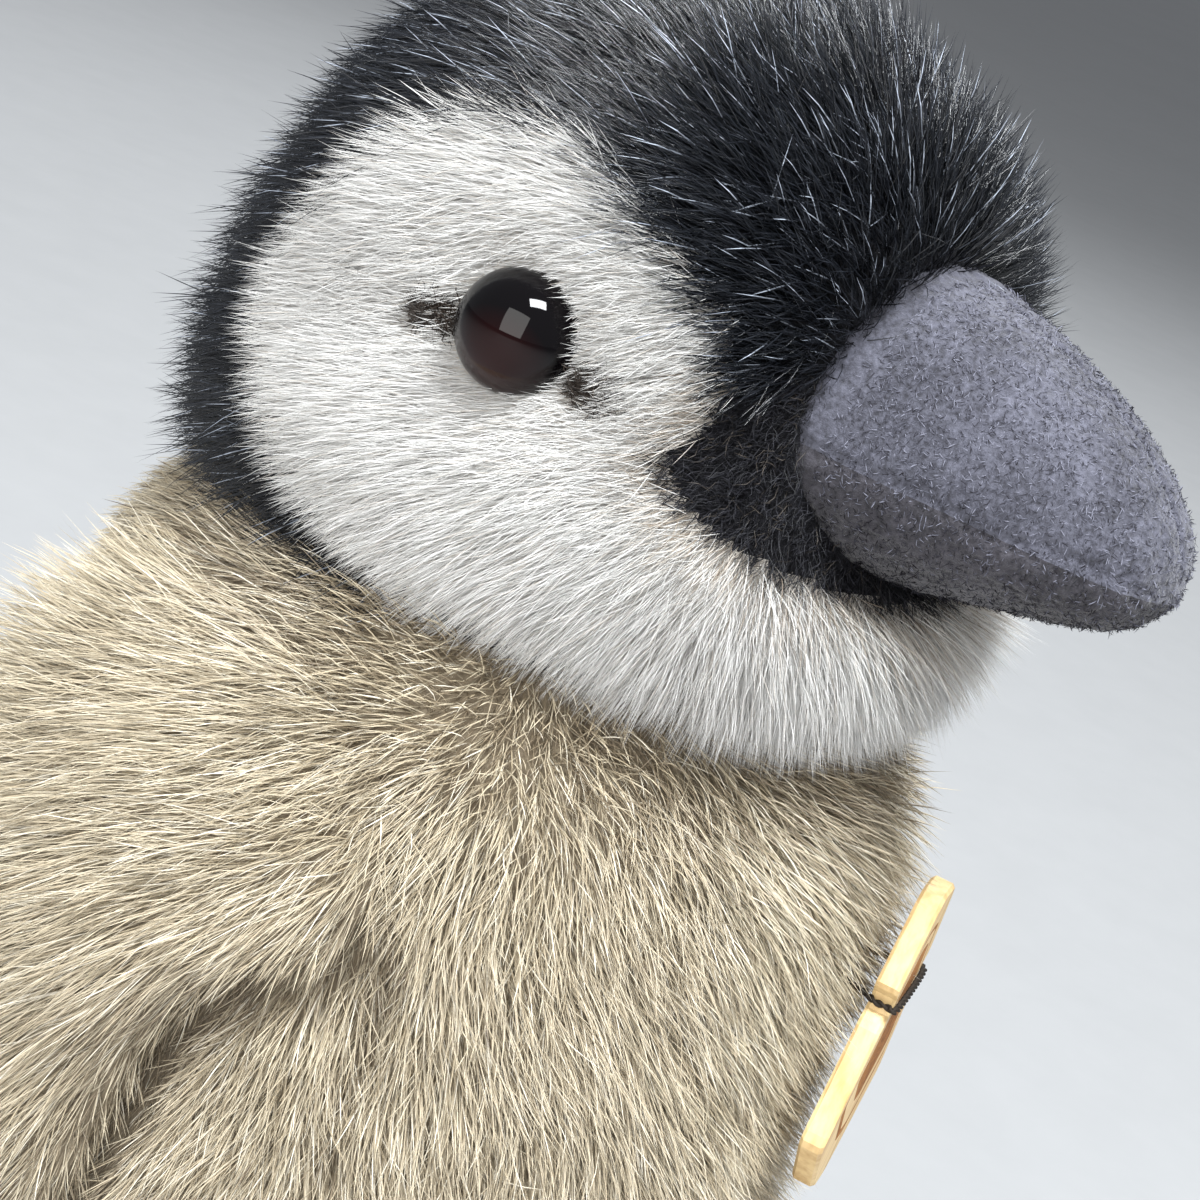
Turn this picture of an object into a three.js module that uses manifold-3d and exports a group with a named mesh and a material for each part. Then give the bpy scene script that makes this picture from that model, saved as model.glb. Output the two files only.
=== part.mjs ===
// A standing plush penguin chick: sewn pile-fabric panels over fibre stuffing, with safety eyes, a suede beak
// and feet, two stuffed flippers that lift at their shoulder seams, and a wooden tag on the chest.
// Millimetres, +Z up. The penguin looks along -Y, and its right side is at -X.
import * as THREE from "three";
import { mergeVertices } from "three/addons/utils/BufferGeometryUtils.js";
import Module from "manifold-3d";

const wasm = await Module();
wasm.setup();

// ---------- driving dimensions ----------

const ABOVE_ALL = 260; // a height clear above the toy
const BELOW_ALL = -10;
const AXIS_Y = 1.5; // the body's upright axis, set so that the origin is under the middle of the toy
const GAP = 0.3; // clearance between sewn neighbours
const BASE_THICKNESS = 1.6;
const FILLING_GAP = 0.75; // from a fabric's inside to the stuffing
const FABRIC = 1.6; // backing and root of the pile fabric
const SUEDE = 1.2; // thickness of the beak and foot fabric
const ROUND = 24; // facets round the body and the head
const FILLING_ROUND = 20; // facets round their stuffing

const NECK_Z = 160; // the seam between head and body
const HEAD_Z = 190; // the head's widest level
// The body's outline from the base up to the neck, as radius and height.
const BODY_PROFILE = [
  [28, 0],
  [36, 6],
  [43, 18],
  [47.4, 36],
  [48, 55],
  [46.6, 78],
  [44.6, 104],
  [43.4, 130],
  [41.6, 149],
  [34.5, 160],
];
// The head's outline from the neck up to the crown, as radius and height above HEAD_Z.
const HEAD_PROFILE = [
  [34.5, -30],
  [36.8, -25],
  [38, -17],
  [37.4, -8],
  [36.4, 0],
  [34.6, 9],
  [30, 18],
  [22.5, 25],
  [12, 30],
  [0, 31.8],
];
const HEAD_WIDTH = 0.97; // the head is a little narrower than it is deep
const CROWN_LEAN = 3; // how far the crown leans forwards
const CHEEK_FULLNESS = 0.07; // how much the cheeks and chin stand out
const CHEEK_LEVEL = -17;
const BODY_PANEL_ANGLE = 58; // the front panel's seams, in degrees from straight ahead

// The white cheek's outline in side view, as distance behind the head's axis and height above HEAD_Z.
const CHEEK_OUTLINE = [
  [-46, -31],
  [-17, -28.5],
  [-3, -25.5],
  [7, -20.5],
  [14, -14],
  [18, -6],
  [14.5, 4],
  [8, 12],
  [0, 16.5],
  [-9, 16.5],
  [-17, 13],
  [-24, 7.5],
  [-28, 2],
  [-46, 0],
];
const NECK_BAND = 2.4; // height of the dark band above the neck seam
const LORE_OUTLINE = [
  [-46, 9],
  [-34, 6],
  [-27, 2.5],
  [-26, -2.6],
  [-24.9, -6.4],
  [-30.2, -11.1],
  [-46, -15.6],
];

// The beak, from its tip back to its base: ridge and keel as y and height above HEAD_Z, gape as y and half
// width.
const BEAK_RIDGE = [
  [-65, -1.4],
  [-62.6, 4.4],
  [-56.4, 9.8],
  [-48, 13.6],
  [-38, 16.4],
  [-24, 18],
];
const BEAK_KEEL = [
  [-65, -1.4],
  [-61.4, -6.2],
  [-53, -9.2],
  [-46, -11],
  [-38, -12.8],
  [-24, -14],
];
const BEAK_GAPE = [
  [-65, 0],
  [-62.4, 6],
  [-55.5, 10.4],
  [-46, 14],
  [-36, 17.2],
  [-24, 19.5],
];
const MOUTH_Z = -1; // the mouth seam, from HEAD_Z
const BEAK_MIDDLE_Y = -36;
const BEAK_MIDDLE_Z = 191;
// The beak's lining and stuffing as shares of its width, length and height.
const BEAK_LINING = [0.92, 0.955, 0.91];
const BEAK_FILLING = [0.89, 0.94, 0.88];
const BEAK_SEAT = [1.01, 1, 1.01];

const EYE_DIAMETER = 12;
const EYE_DOME = 5.6; // how far the dome stands out
const EYE_ANGLE = 75; // degrees from straight ahead
const EYE_Z = 189.3;
const SHANK_DIAMETER = 4;
const SHANK_LENGTH = 12;
const WASHER_DIAMETER = 12;
const WASHER_DEPTH = 4; // from the outside of the fabric to the face of the washer
const WASHER_THICKNESS = 2;
const STITCH_ANGLES = { front: 60, rear: 90 };
const STITCH_SIZE = [2.4, 0.7, 1.3]; // half width, half depth and half height of a corner tuft
const STITCH_STAND = 1.1; // the tuft's middle, out from the fabric
const STITCH_DROP = 1; // below the eye's middle

const PELLET_RADIUS = 24;
const PELLET_HEIGHT = 26;
const POCKET_RADIUS = 16.8; // the opening under the pellet bag, in the stuffing
const POCKET_TOP = 10;

const FLIPPER_TOP_Z = 133;
const FLIPPER_CLEARANCE = 0.6; // between the body and the flipper's inner panel
// The flipper's blade from top to tip: height, middle and half width in degrees from straight ahead, and
// thickness.
const FLIPPER_STATIONS = [
  [133, 97, 14, 4.5],
  [131, 98, 23, 6.5],
  [122, 102, 25, 8.5],
  [98, 106, 23, 9],
  [76, 105, 18, 8],
  [62, 104, 11, 6],
  [57, 104, 3, 3],
];
const FLIPPER_ROOT_FREE = 4; // empty of stuffing below the root seam
const FLIPPER_TIP_FREE = 8; // and above the tip

const FOOT_ANGLE = 14; // how far each foot turns out
const FOOT_X = 17;
const FOOT_Y = -41;
const FOOT_LENGTH = 36;
const FOOT_HEEL_WIDTH = 20;
const FOOT_TOE_WIDTH = 31;
const FOOT_HEIGHT = 9;
const FOOT_WALL = 2.2;
const FOOT_BEVEL = 3;
const BODY_CLEARANCE = 0.5; // from the body to the feet and the tail

const TAIL_TIP = [0, 62, 9]; // from the body's axis
const TAIL_ROOT = [0, 32, 34];
const TAIL_WIDTH = 30;
const TAIL_THICKNESS = 8;

const TAG_ANGLE = 17; // where the tag lies on the chest, in degrees from straight ahead
const TAG_RADIUS = 51.9; // from the body's axis to the tag's middle
const TAG_THICKNESS = 2.6;
const TAG_WAIST_Z = 134.7; // the notches that the cord runs through
const TAG_TOP = 12; // above the waist
const TAG_CORNER = -15;
const TAG_BOTTOM = -24.5;
const TAG_TOP_WIDTH = 9;
const TAG_CORNER_WIDTH = 26;
const TAG_BOTTOM_WIDTH = 5;
const NOTCH_DEPTH = 1.6;
const NOTCH_HALF_HEIGHT = 2.4;
const NOTCH_FLOOR_HALF_HEIGHT = 0.9;
const CORD_DIAMETER = 1;
const CORD_CLEARANCE = 0.45; // between the cord and the tag

const COLOURS = {
  blackPile: 0x15161a,
  blackShort: 0x24262c,
  whitePile: 0xf1ece4,
  beigePile: 0xb5a78f,
  suede: 0x5d5c68,
  footSuede: 0x3f3e47,
  eye: 0x0b0708,
  washer: 0xe6e6e2,
  fibre: 0xf4f4f2,
  pellets: 0xd9d4c8,
  thread: 0x1a1613,
  wood: 0xe2b877,
};

// ---------- helpers ----------

const rad = THREE.MathUtils.degToRad;

// A point at an angle from straight ahead, positive towards the penguin's left (+X).
function around(angle, radius, z) {
  return new THREE.Vector3(radius * Math.sin(rad(angle)), -radius * Math.cos(rad(angle)), z);
}

// A closed geometry as a manifold solid with its faces pointing out.
function toSolid(geometry) {
  const bare = geometry.index ? geometry.toNonIndexed() : geometry.clone();
  bare.deleteAttribute("normal");
  bare.deleteAttribute("uv");
  const merged = mergeVertices(bare, 1e-3);
  const places = merged.attributes.position.array;
  const at = (i) => new THREE.Vector3().fromArray(places, 3 * i);
  const faces = [];
  let volume = 0;
  for (let i = 0; i < merged.index.count; i += 3) {
    const [a, b, c] = [0, 1, 2].map((k) => merged.index.getX(i + k));
    if (a === b || b === c || c === a) continue;
    faces.push([a, b, c]);
    volume += at(a).dot(at(b).cross(at(c)));
  }
  const triVerts = new Uint32Array(faces.flatMap(([a, b, c]) => (volume < 0 ? [a, c, b] : [a, b, c])));
  return new wasm.Manifold(new wasm.Mesh({ numProp: 3, vertProperties: places, triVerts }));
}

function toGeometry(solid) {
  const mesh = solid.getMesh();
  const geometry = new THREE.BufferGeometry();
  geometry.setAttribute("position", new THREE.BufferAttribute(new Float32Array(mesh.vertProperties), 3));
  geometry.setIndex(new THREE.BufferAttribute(new Uint32Array(mesh.triVerts), 1));
  geometry.computeVertexNormals();
  return geometry;
}

const toy = new THREE.Group();
toy.position.y = AXIS_Y;

function addPiece(name, solid, colour, roughness = 0.95) {
  const material = new THREE.MeshStandardMaterial({ color: colour, roughness, metalness: 0 });
  const mesh = new THREE.Mesh(toGeometry(solid), material);
  mesh.name = name;
  toy.add(mesh);
  return mesh;
}

function spline(points) {
  return new THREE.SplineCurve(points.map(([x, y]) => new THREE.Vector2(x, y)));
}

// A profile's points moved inwards by a distance, keeping points on the axis there.
function insetProfile(points, distance) {
  return points.map((point, i) => {
    const before = points[Math.max(i - 1, 0)];
    const after = points[Math.min(i + 1, points.length - 1)];
    const along = after.clone().sub(before).normalize();
    const moved = point.clone().add(new THREE.Vector2(-along.y, along.x).multiplyScalar(distance));
    if (point.x < 1e-6) return new THREE.Vector2(0, point.y - distance);
    return new THREE.Vector2(Math.max(moved.x, 0), moved.y);
  });
}

// A solid of revolution about Z, from an outline that starts and ends on the axis or closes on itself.
function lathe(outline, segments = ROUND, form = null) {
  const geometry = new THREE.LatheGeometry(outline, segments);
  geometry.rotateX(Math.PI / 2);
  if (form) mapVertices(geometry, form);
  return toSolid(geometry);
}

function mapVertices(geometry, form) {
  const position = geometry.attributes.position;
  const vertex = new THREE.Vector3();
  for (let i = 0; i < position.count; i++) {
    vertex.fromBufferAttribute(position, i);
    vertex.copy(form(vertex));
    position.setXYZ(i, vertex.x, vertex.y, vertex.z);
  }
}

// A sphere with each vertex placed by its row, from 0 at one pole to 1 at the other, and its angle round.
function formedSphere(roundSegments, rows, place) {
  const geometry = new THREE.SphereGeometry(1, roundSegments, rows);
  mapVertices(geometry, (v) => {
    const row = Math.round((Math.acos(THREE.MathUtils.clamp(v.y, -1, 1)) / Math.PI) * rows);
    return place(row / rows, Math.atan2(v.z, v.x));
  });
  return toSolid(geometry);
}

// A prism over a flat outline, between two heights.
function prism(points, low, high) {
  const shape = new THREE.Shape(points.map(([x, y]) => new THREE.Vector2(x, y)));
  const geometry = new THREE.ExtrudeGeometry(shape, { depth: high - low, bevelEnabled: false });
  return toSolid(geometry.translate(0, 0, low));
}

// All the space between two heights.
function slab(low, high) {
  const reach = 120;
  return toSolid(new THREE.BoxGeometry(2 * reach, 2 * reach, high - low).translate(0, 0, (low + high) / 2));
}

// The space between two angles from straight ahead.
function wedge(from, to) {
  const reach = 120;
  const steps = Math.ceil((to - from) / 30);
  const points = [[0, 0]];
  for (let i = 0; i <= steps; i++) {
    const edge = around(from + ((to - from) * i) / steps, reach, 0);
    points.push([edge.x, edge.y]);
  }
  return prism(points, BELOW_ALL, ABOVE_ALL);
}

// The space behind a side-view outline of y and height above HEAD_Z, on one side of the midline, grown by a
// clearance.
function sideCutter(outline, side, growth = 0) {
  const reach = 60;
  const middle = new THREE.Vector2();
  const points = outline.map(([y, z]) => new THREE.Vector2(y, z));
  points.forEach((point) => middle.addScaledVector(point, 1 / points.length));
  points.forEach((point) => point.addScaledVector(point.clone().sub(middle).normalize(), growth));
  const shape = new THREE.Shape();
  shape.moveTo(points[0].x, points[0].y);
  shape.splineThru(points.slice(1));
  const geometry = new THREE.ExtrudeGeometry(shape, { depth: reach, bevelEnabled: false, curveSegments: 2 });
  geometry.applyMatrix4(
    new THREE.Matrix4().makeBasis(
      new THREE.Vector3(0, 1, 0),
      new THREE.Vector3(0, 0, 1),
      new THREE.Vector3(1, 0, 0),
    ),
  );
  geometry.translate(side > 0 ? GAP / 2 : -GAP / 2 - reach, 0, HEAD_Z);
  return toSolid(geometry);
}

function halfSpace(side) {
  const box = new THREE.BoxGeometry(200, 300, 400);
  return toSolid(box.translate(side * (100 + GAP / 2), 0, 100));
}

const SIDES = [
  ["left", 1],
  ["right", -1],
];

// ---------- head ----------

// The cheeks and chin stand out below the widest level, and the crown leans forwards.
function headForm(v) {
  const height = v.z - HEAD_Z;
  const ahead = Math.max(0, -v.y / Math.hypot(v.x, v.y, 1e-6));
  const fullness = CHEEK_FULLNESS * ahead ** 1.5 * Math.exp(-(((height - CHEEK_LEVEL) / 9) ** 2));
  const lean = CROWN_LEAN * (Math.max(height, 0) / 32) ** 2;
  return new THREE.Vector3(v.x * HEAD_WIDTH * (1 + fullness), v.y * (1 + fullness) - lean, v.z);
}

const headCurve = spline(HEAD_PROFILE.map(([r, z]) => [r, HEAD_Z + z])).getPoints(10);

// The head's solid, moved in by a distance and starting above the neck seam.
function headSolid(inset, floor, segments = ROUND) {
  const side = insetProfile(headCurve, inset).map((p) => new THREE.Vector2(p.x, Math.max(p.y, floor)));
  return lathe([new THREE.Vector2(0, floor), ...side], segments, headForm);
}

const headOuter = headSolid(0, NECK_Z + GAP / 2);
const headShell = headOuter.subtract(headSolid(FABRIC, NECK_Z - GAP));
const neckBandTop = NECK_Z + NECK_BAND;
const bandSpace = slab(BELOW_ALL, neckBandTop);
const aboveBand = slab(neckBandTop + GAP, ABOVE_ALL);

// ---------- beak ----------

const ridge = spline(BEAK_RIDGE);
const keel = spline(BEAK_KEEL);
const gape = spline(BEAK_GAPE);
const BEAK_ROWS = 9;

// Each section joins the ridge, the two sides of the gape and the keel.
function beakPoint(row, angle) {
  const t = Math.min((row * BEAK_ROWS) / (BEAK_ROWS - 1), 1);
  const top = ridge.getPointAt(t);
  const low = keel.getPointAt(t);
  const side = gape.getPointAt(t);
  const middle = new THREE.Vector3(0, side.x, HEAD_Z + MOUTH_Z + MOUTH_Z * (1 - t));
  if (row === 1) return middle;
  const end = Math.sin(angle) > 0 ? top : low;
  const rise = new THREE.Vector3(0, end.x, HEAD_Z + end.y).sub(middle);
  middle.addScaledVector(rise, Math.abs(Math.sin(angle)));
  return middle.add(new THREE.Vector3(side.y * Math.cos(angle), 0, 0));
}

const beakWhole = formedSphere(16, BEAK_ROWS, beakPoint);

// The beak scaled about its middle.
function beakScaled(scale) {
  const centred = beakWhole.translate([0, -BEAK_MIDDLE_Y, -BEAK_MIDDLE_Z]);
  return centred.scale(scale).translate([0, BEAK_MIDDLE_Y, BEAK_MIDDLE_Z]);
}

const headClear = headSolid(-GAP, NECK_Z);
const beakOuter = beakWhole.subtract(headClear);
const beakShell = beakOuter.subtract(beakScaled(BEAK_LINING));
const beakUpper = beakShell.intersect(slab(HEAD_Z + MOUTH_Z + GAP / 2, ABOVE_ALL));
for (const [sideName, side] of SIDES) {
  addPiece(`beak_upper_${sideName}`, beakUpper.intersect(halfSpace(side)), COLOURS.suede);
}
addPiece("beak_lower", beakShell.intersect(slab(0, HEAD_Z + MOUTH_Z - GAP / 2)), COLOURS.suede);
addPiece("beak_stuffing", beakScaled(BEAK_FILLING).subtract(headClear), COLOURS.fibre);

// ---------- eyes ----------

const headRadiusAt = (angle, z) => {
  const nearest = headCurve.reduce((a, b) => (Math.abs(b.y - z) < Math.abs(a.y - z) ? b : a));
  const placed = headForm(around(angle, nearest.x, z));
  return Math.hypot(placed.x, placed.y);
};

// A solid of revolution that points along -Y, turned and moved to a place on the head.
function onHead(solid, angle, z, stand) {
  const place = around(angle, headRadiusAt(angle, z) + stand, z);
  return solid.rotate([0, 0, angle]).translate([place.x, place.y, place.z]);
}

// Radius and distance outwards from the fabric, turned to point along -Y.
function turned(outline) {
  const points = outline.map(([r, out]) => new THREE.Vector2(r, out));
  const geometry = new THREE.LatheGeometry(points, 16);
  geometry.rotateX(Math.PI);
  return toSolid(geometry);
}

const eyeRadius = EYE_DIAMETER / 2;
const shankRadius = SHANK_DIAMETER / 2;
const domeOutline = [];
const DOME_STEPS = 5;
for (let i = 0; i < DOME_STEPS; i++) {
  const tilt = (i / DOME_STEPS) * (Math.PI / 2);
  domeOutline.push([eyeRadius * Math.cos(tilt), EYE_DOME * Math.sin(tilt)]);
}
domeOutline.push([0, EYE_DOME]);
const shankOutline = [
  [0, -SHANK_LENGTH],
  [shankRadius, -SHANK_LENGTH],
  [shankRadius, 0],
];
const eyeBody = turned([...shankOutline, ...domeOutline]);
// The shank's way in, and the shallow seat that the dome presses into the fabric.
const shankClear = turned([
  [0, -SHANK_LENGTH - GAP],
  [shankRadius + GAP, -SHANK_LENGTH - GAP],
  [shankRadius + GAP, -GAP / 2],
  [eyeRadius + GAP, -GAP / 2],
  [eyeRadius + GAP, EYE_DOME],
  [0, EYE_DOME],
]);
const washerBack = -WASHER_DEPTH - WASHER_THICKNESS;
const washerFront = -WASHER_DEPTH;
const washerRadius = WASHER_DIAMETER / 2;
const washer = turned([
  [shankRadius + GAP / 2, washerBack],
  [washerRadius, washerBack],
  [washerRadius, washerFront],
  [shankRadius + GAP / 2, washerFront],
  [shankRadius + GAP / 2, washerBack],
]);
const washerClear = turned([
  [0, washerBack - GAP],
  [washerRadius + GAP, washerBack - GAP],
  [washerRadius + GAP, EYE_DOME],
  [0, EYE_DOME],
]);
const stitchTuft = toSolid(new THREE.SphereGeometry(1, 8, 4).scale(...STITCH_SIZE));

let headFilling = headSolid(FABRIC + FILLING_GAP, NECK_Z + GAP, FILLING_ROUND);
const eyeHoles = [];
for (const [sideName, side] of SIDES) {
  const angle = side * EYE_ANGLE;
  addPiece(`eye_${sideName}`, onHead(eyeBody, angle, EYE_Z, GAP), COLOURS.eye, 0.08);
  addPiece(`eye_washer_${sideName}`, onHead(washer, angle, EYE_Z, 0), COLOURS.washer, 0.5);
  for (const [place, stitchAngle] of Object.entries(STITCH_ANGLES)) {
    const tuft = onHead(stitchTuft, side * stitchAngle, EYE_Z - STITCH_DROP, STITCH_STAND);
    addPiece(`eye_stitch_${place}_${sideName}`, tuft, COLOURS.thread);
  }
  eyeHoles.push(onHead(shankClear, angle, EYE_Z, 0));
  headFilling = headFilling.subtract(onHead(washerClear, angle, EYE_Z, 0)).subtract(eyeHoles.at(-1));
}
addPiece("head_stuffing", headFilling, COLOURS.fibre);

// ---------- head panels ----------

const eyeHole = eyeHoles[0].add(eyeHoles[1]);
const facePanels = headShell.intersect(aboveBand).subtract(beakScaled(BEAK_SEAT));
const seamDegrees = (gap, radius) => THREE.MathUtils.radToDeg(gap / radius);
const bandSeam = seamDegrees(GAP, HEAD_PROFILE[0][0]);
const bandJoin = wedge(180 - bandSeam, 180 + bandSeam);
addPiece("neck_band", headShell.intersect(bandSpace).subtract(bandJoin), COLOURS.blackShort);
for (const [sideName, side] of SIDES) {
  const half = facePanels.intersect(halfSpace(side));
  const besideLore = half.subtract(sideCutter(LORE_OUTLINE, side, GAP));
  const cheek = besideLore.intersect(sideCutter(CHEEK_OUTLINE, side)).subtract(eyeHole);
  const cap = besideLore.subtract(sideCutter(CHEEK_OUTLINE, side, GAP));
  addPiece(`cheek_${sideName}`, cheek, COLOURS.whitePile);
  addPiece(`lore_${sideName}`, half.intersect(sideCutter(LORE_OUTLINE, side)), COLOURS.blackShort);
  addPiece(`head_cap_${sideName}`, cap, COLOURS.blackPile);
}

// ---------- body ----------

const bodyCurve = spline(BODY_PROFILE).getPoints(12);

// The body's solid, moved in by a distance and kept between two heights.
function bodySolid(inset, floor, ceiling, segments = ROUND) {
  const side = insetProfile(bodyCurve, inset).map(
    (p) => new THREE.Vector2(p.x, THREE.MathUtils.clamp(p.y, floor, ceiling)),
  );
  return lathe([new THREE.Vector2(0, floor), ...side, new THREE.Vector2(0, ceiling)], segments);
}

const bodyRadiusAt = (z) => bodyCurve.reduce((a, b) => (Math.abs(b.y - z) < Math.abs(a.y - z) ? b : a)).x;

const bodyTop = NECK_Z - GAP / 2;
const bodyOuter = bodySolid(0, BASE_THICKNESS + GAP, bodyTop);
const bodyShell = bodyOuter.subtract(bodySolid(FABRIC, 0, NECK_Z));
const seamAngle = seamDegrees(GAP / 2, BODY_PROFILE.at(-2)[0]);
addPiece(
  "body_front",
  bodyShell.intersect(wedge(seamAngle - BODY_PANEL_ANGLE, BODY_PANEL_ANGLE - seamAngle)),
  COLOURS.beigePile,
);
for (const [sideName, side] of SIDES) {
  const [from, to] = [BODY_PANEL_ANGLE + seamAngle, 180 - seamAngle];
  const space = side > 0 ? wedge(from, to) : wedge(-to, -from);
  addPiece(`body_back_${sideName}`, bodyShell.intersect(space), COLOURS.beigePile);
}
const baseRadius = bodyCurve[0].x;
const base = new THREE.CylinderGeometry(baseRadius, baseRadius, BASE_THICKNESS, ROUND);
base.rotateX(Math.PI / 2).translate(0, 0, BASE_THICKNESS / 2);
addPiece("base_panel", toSolid(base), COLOURS.footSuede);

// The bag of pellets that weights the toy lies in a pocket in the stuffing, on the base.
const bagFloor = BASE_THICKNESS + GAP;
const bagShape = (grow) => {
  const sphere = new THREE.SphereGeometry(1, 14, 8);
  sphere.scale(PELLET_RADIUS + grow, PELLET_RADIUS + grow, PELLET_HEIGHT / 2 + grow);
  return toSolid(sphere.translate(0, 0, bagFloor + PELLET_HEIGHT / 2));
};
const pocket = new THREE.CylinderGeometry(POCKET_RADIUS, POCKET_RADIUS, POCKET_TOP, 20);
pocket.rotateX(Math.PI / 2).translate(0, 0, POCKET_TOP / 2);
addPiece("pellet_bag", bagShape(0).intersect(slab(bagFloor, ABOVE_ALL)), COLOURS.pellets);
const bodyFilling = bodySolid(FABRIC + FILLING_GAP, bagFloor, NECK_Z - GAP, FILLING_ROUND);
addPiece("body_stuffing", bodyFilling.subtract(bagShape(GAP)).subtract(toSolid(pocket)), COLOURS.fibre);

// ---------- flippers ----------

const FLIPPER_ROWS = 9;
const curveThrough = (points) => new THREE.CatmullRomCurve3(points.map((p) => new THREE.Vector3(...p)));
const bladeCurve = curveThrough(FLIPPER_STATIONS.map(([z, middle, half]) => [z, middle, half]));
const thicknessCurve = curveThrough(FLIPPER_STATIONS.map(([z, , , thick]) => [z, thick, 0]));

// The blade wraps round the body's side; thin moves its surface in by a distance.
function flipperPoint(side, thin) {
  return (row, angle) => {
    const t = THREE.MathUtils.clamp((row * FLIPPER_ROWS - 1) / (FLIPPER_ROWS - 2), 0, 1);
    const station = bladeCurve.getPoint(t);
    const thick = thicknessCurve.getPoint(t).y;
    const z = THREE.MathUtils.clamp(station.x, FLIPPER_STATIONS.at(-1)[0] + thin, FLIPPER_TOP_Z - thin);
    const radius = bodyRadiusAt(z) + FLIPPER_CLEARANCE + thick / 2;
    const closed = row === 0 || row === 1 ? 0 : 1;
    const across = (station.z - seamDegrees(thin, radius)) * Math.cos(angle) * closed;
    const out = Math.max(thick / 2 - thin, GAP) * Math.sin(angle) * closed;
    return around(side * (station.y + across), radius + out, z);
  };
}

// The surface half way through the blade, a distance further out.
function flipperMiddle(offset) {
  const halfWay = FLIPPER_CLEARANCE + FLIPPER_STATIONS[3][3] / 2;
  const wall = bodyCurve.map((p) => new THREE.Vector2(p.x + halfWay + offset, p.y));
  return lathe([new THREE.Vector2(0, bodyCurve[0].y), ...wall, new THREE.Vector2(0, NECK_Z)]);
}

// The stuffing stops short of the thin tip and of the root seam.
const flipperTipZ = FLIPPER_STATIONS.at(-1)[0];
const flipperFilled = slab(flipperTipZ + FLIPPER_TIP_FREE, FLIPPER_TOP_Z - FLIPPER_ROOT_FREE);

for (const [sideName, side] of SIDES) {
  const blade = (thin) => formedSphere(12, FLIPPER_ROWS, flipperPoint(side, thin));
  const shell = blade(0).subtract(blade(FABRIC));
  addPiece(`flipper_${sideName}_outer`, shell.subtract(flipperMiddle(GAP)), COLOURS.beigePile);
  addPiece(`flipper_${sideName}_inner`, shell.intersect(flipperMiddle(0)), COLOURS.beigePile);
  addPiece(`flipper_${sideName}_stuffing`, blade(FABRIC + 2 * GAP).intersect(flipperFilled), COLOURS.fibre);
}

// ---------- feet ----------

// A webbed foot seen from above: a rounded heel and three toes.
function footOutline(shrink) {
  const heel = FOOT_HEEL_WIDTH / 2 - shrink;
  const toe = FOOT_TOE_WIDTH / 2 - shrink;
  const toeRadius = toe / 3;
  const toeLine = -FOOT_LENGTH / 2 + toeRadius + shrink;
  const shape = new THREE.Shape();
  shape.moveTo(-toe, toeLine);
  for (let i = 0; i < 3; i++) {
    shape.absarc(-toe + toeRadius * (2 * i + 1), toeLine, toeRadius, Math.PI, 2 * Math.PI, false);
  }
  shape.absarc(0, FOOT_LENGTH / 2 - FOOT_HEEL_WIDTH / 2, heel, 0, Math.PI, false);
  return shape;
}

// The space inside the foot, which has no toes.
function footPocket(shrink) {
  const heel = FOOT_HEEL_WIDTH / 2 - shrink;
  const toe = FOOT_TOE_WIDTH / 2 - shrink;
  const toeLine = -FOOT_LENGTH / 2 + FOOT_TOE_WIDTH / 6 + shrink;
  const shape = new THREE.Shape();
  shape.moveTo(-toe, toeLine);
  shape.lineTo(toe, toeLine);
  shape.absarc(0, FOOT_LENGTH / 2 - FOOT_HEEL_WIDTH / 2, heel, 0, Math.PI, false);
  return shape;
}

// A plate over an outline between two heights, with sloping edges where bevel is above nought.
function plate(shape, low, high, bevel = 0) {
  const geometry = new THREE.ExtrudeGeometry(shape, {
    depth: high - low - 2 * bevel,
    bevelEnabled: bevel > 0,
    bevelSize: bevel,
    bevelThickness: bevel,
    bevelSegments: 1,
    curveSegments: 3,
  });
  return toSolid(geometry.translate(0, 0, low + bevel));
}

const bodyClear = bodySolid(-BODY_CLEARANCE, BELOW_ALL, NECK_Z);
const soleTop = SUEDE;
for (const [sideName, side] of SIDES) {
  const turn = [0, 0, side * FOOT_ANGLE];
  const placed = (solid) => solid.rotate(turn).translate([side * FOOT_X, FOOT_Y, 0]);
  const lid = plate(footOutline(FOOT_BEVEL), -FOOT_BEVEL, FOOT_HEIGHT, FOOT_BEVEL);
  const aboveSole = slab(soleTop + GAP, ABOVE_ALL);
  const hollow = plate(footPocket(FOOT_WALL), 0, FOOT_HEIGHT - FOOT_WALL);
  const filling = plate(footPocket(FOOT_WALL + 2 * GAP), 0, FOOT_HEIGHT - FOOT_WALL - GAP);
  const pieces = {
    upper: [lid.subtract(hollow).intersect(aboveSole), COLOURS.footSuede],
    sole: [plate(footOutline(0), 0, soleTop), COLOURS.footSuede],
    stuffing: [filling.intersect(aboveSole), COLOURS.fibre],
  };
  for (const [piece, [solid, colour]] of Object.entries(pieces)) {
    addPiece(`foot_${sideName}_${piece}`, placed(solid).subtract(bodyClear), colour);
  }
}

// ---------- tail ----------

const TAIL_ROWS = 6;
const tailRoot = new THREE.Vector3(...TAIL_ROOT);
const tailTip = new THREE.Vector3(...TAIL_TIP);

// A flat tongue that narrows from its root to its tip.
function tailPoint(thin) {
  const along = tailTip.clone().sub(tailRoot).normalize();
  const up = new THREE.Vector3(1, 0, 0).cross(along).negate();
  return (row, angle) => {
    const reach = THREE.MathUtils.lerp(0, tailTip.distanceTo(tailRoot) - thin, 1 - (1 - row) ** 1.6);
    const narrowing = row === 0 || row === 1 ? 0 : (1 - row) ** 0.45;
    const half = Math.max((TAIL_WIDTH / 2) * narrowing - thin, 0) * Math.cos(angle);
    const thick = Math.max((TAIL_THICKNESS / 2) * narrowing - thin, 0) * Math.sin(angle);
    const point = new THREE.Vector3(half, 0, 0).add(tailRoot);
    return point.addScaledVector(along, reach).addScaledVector(up, thick);
  };
}

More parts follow.
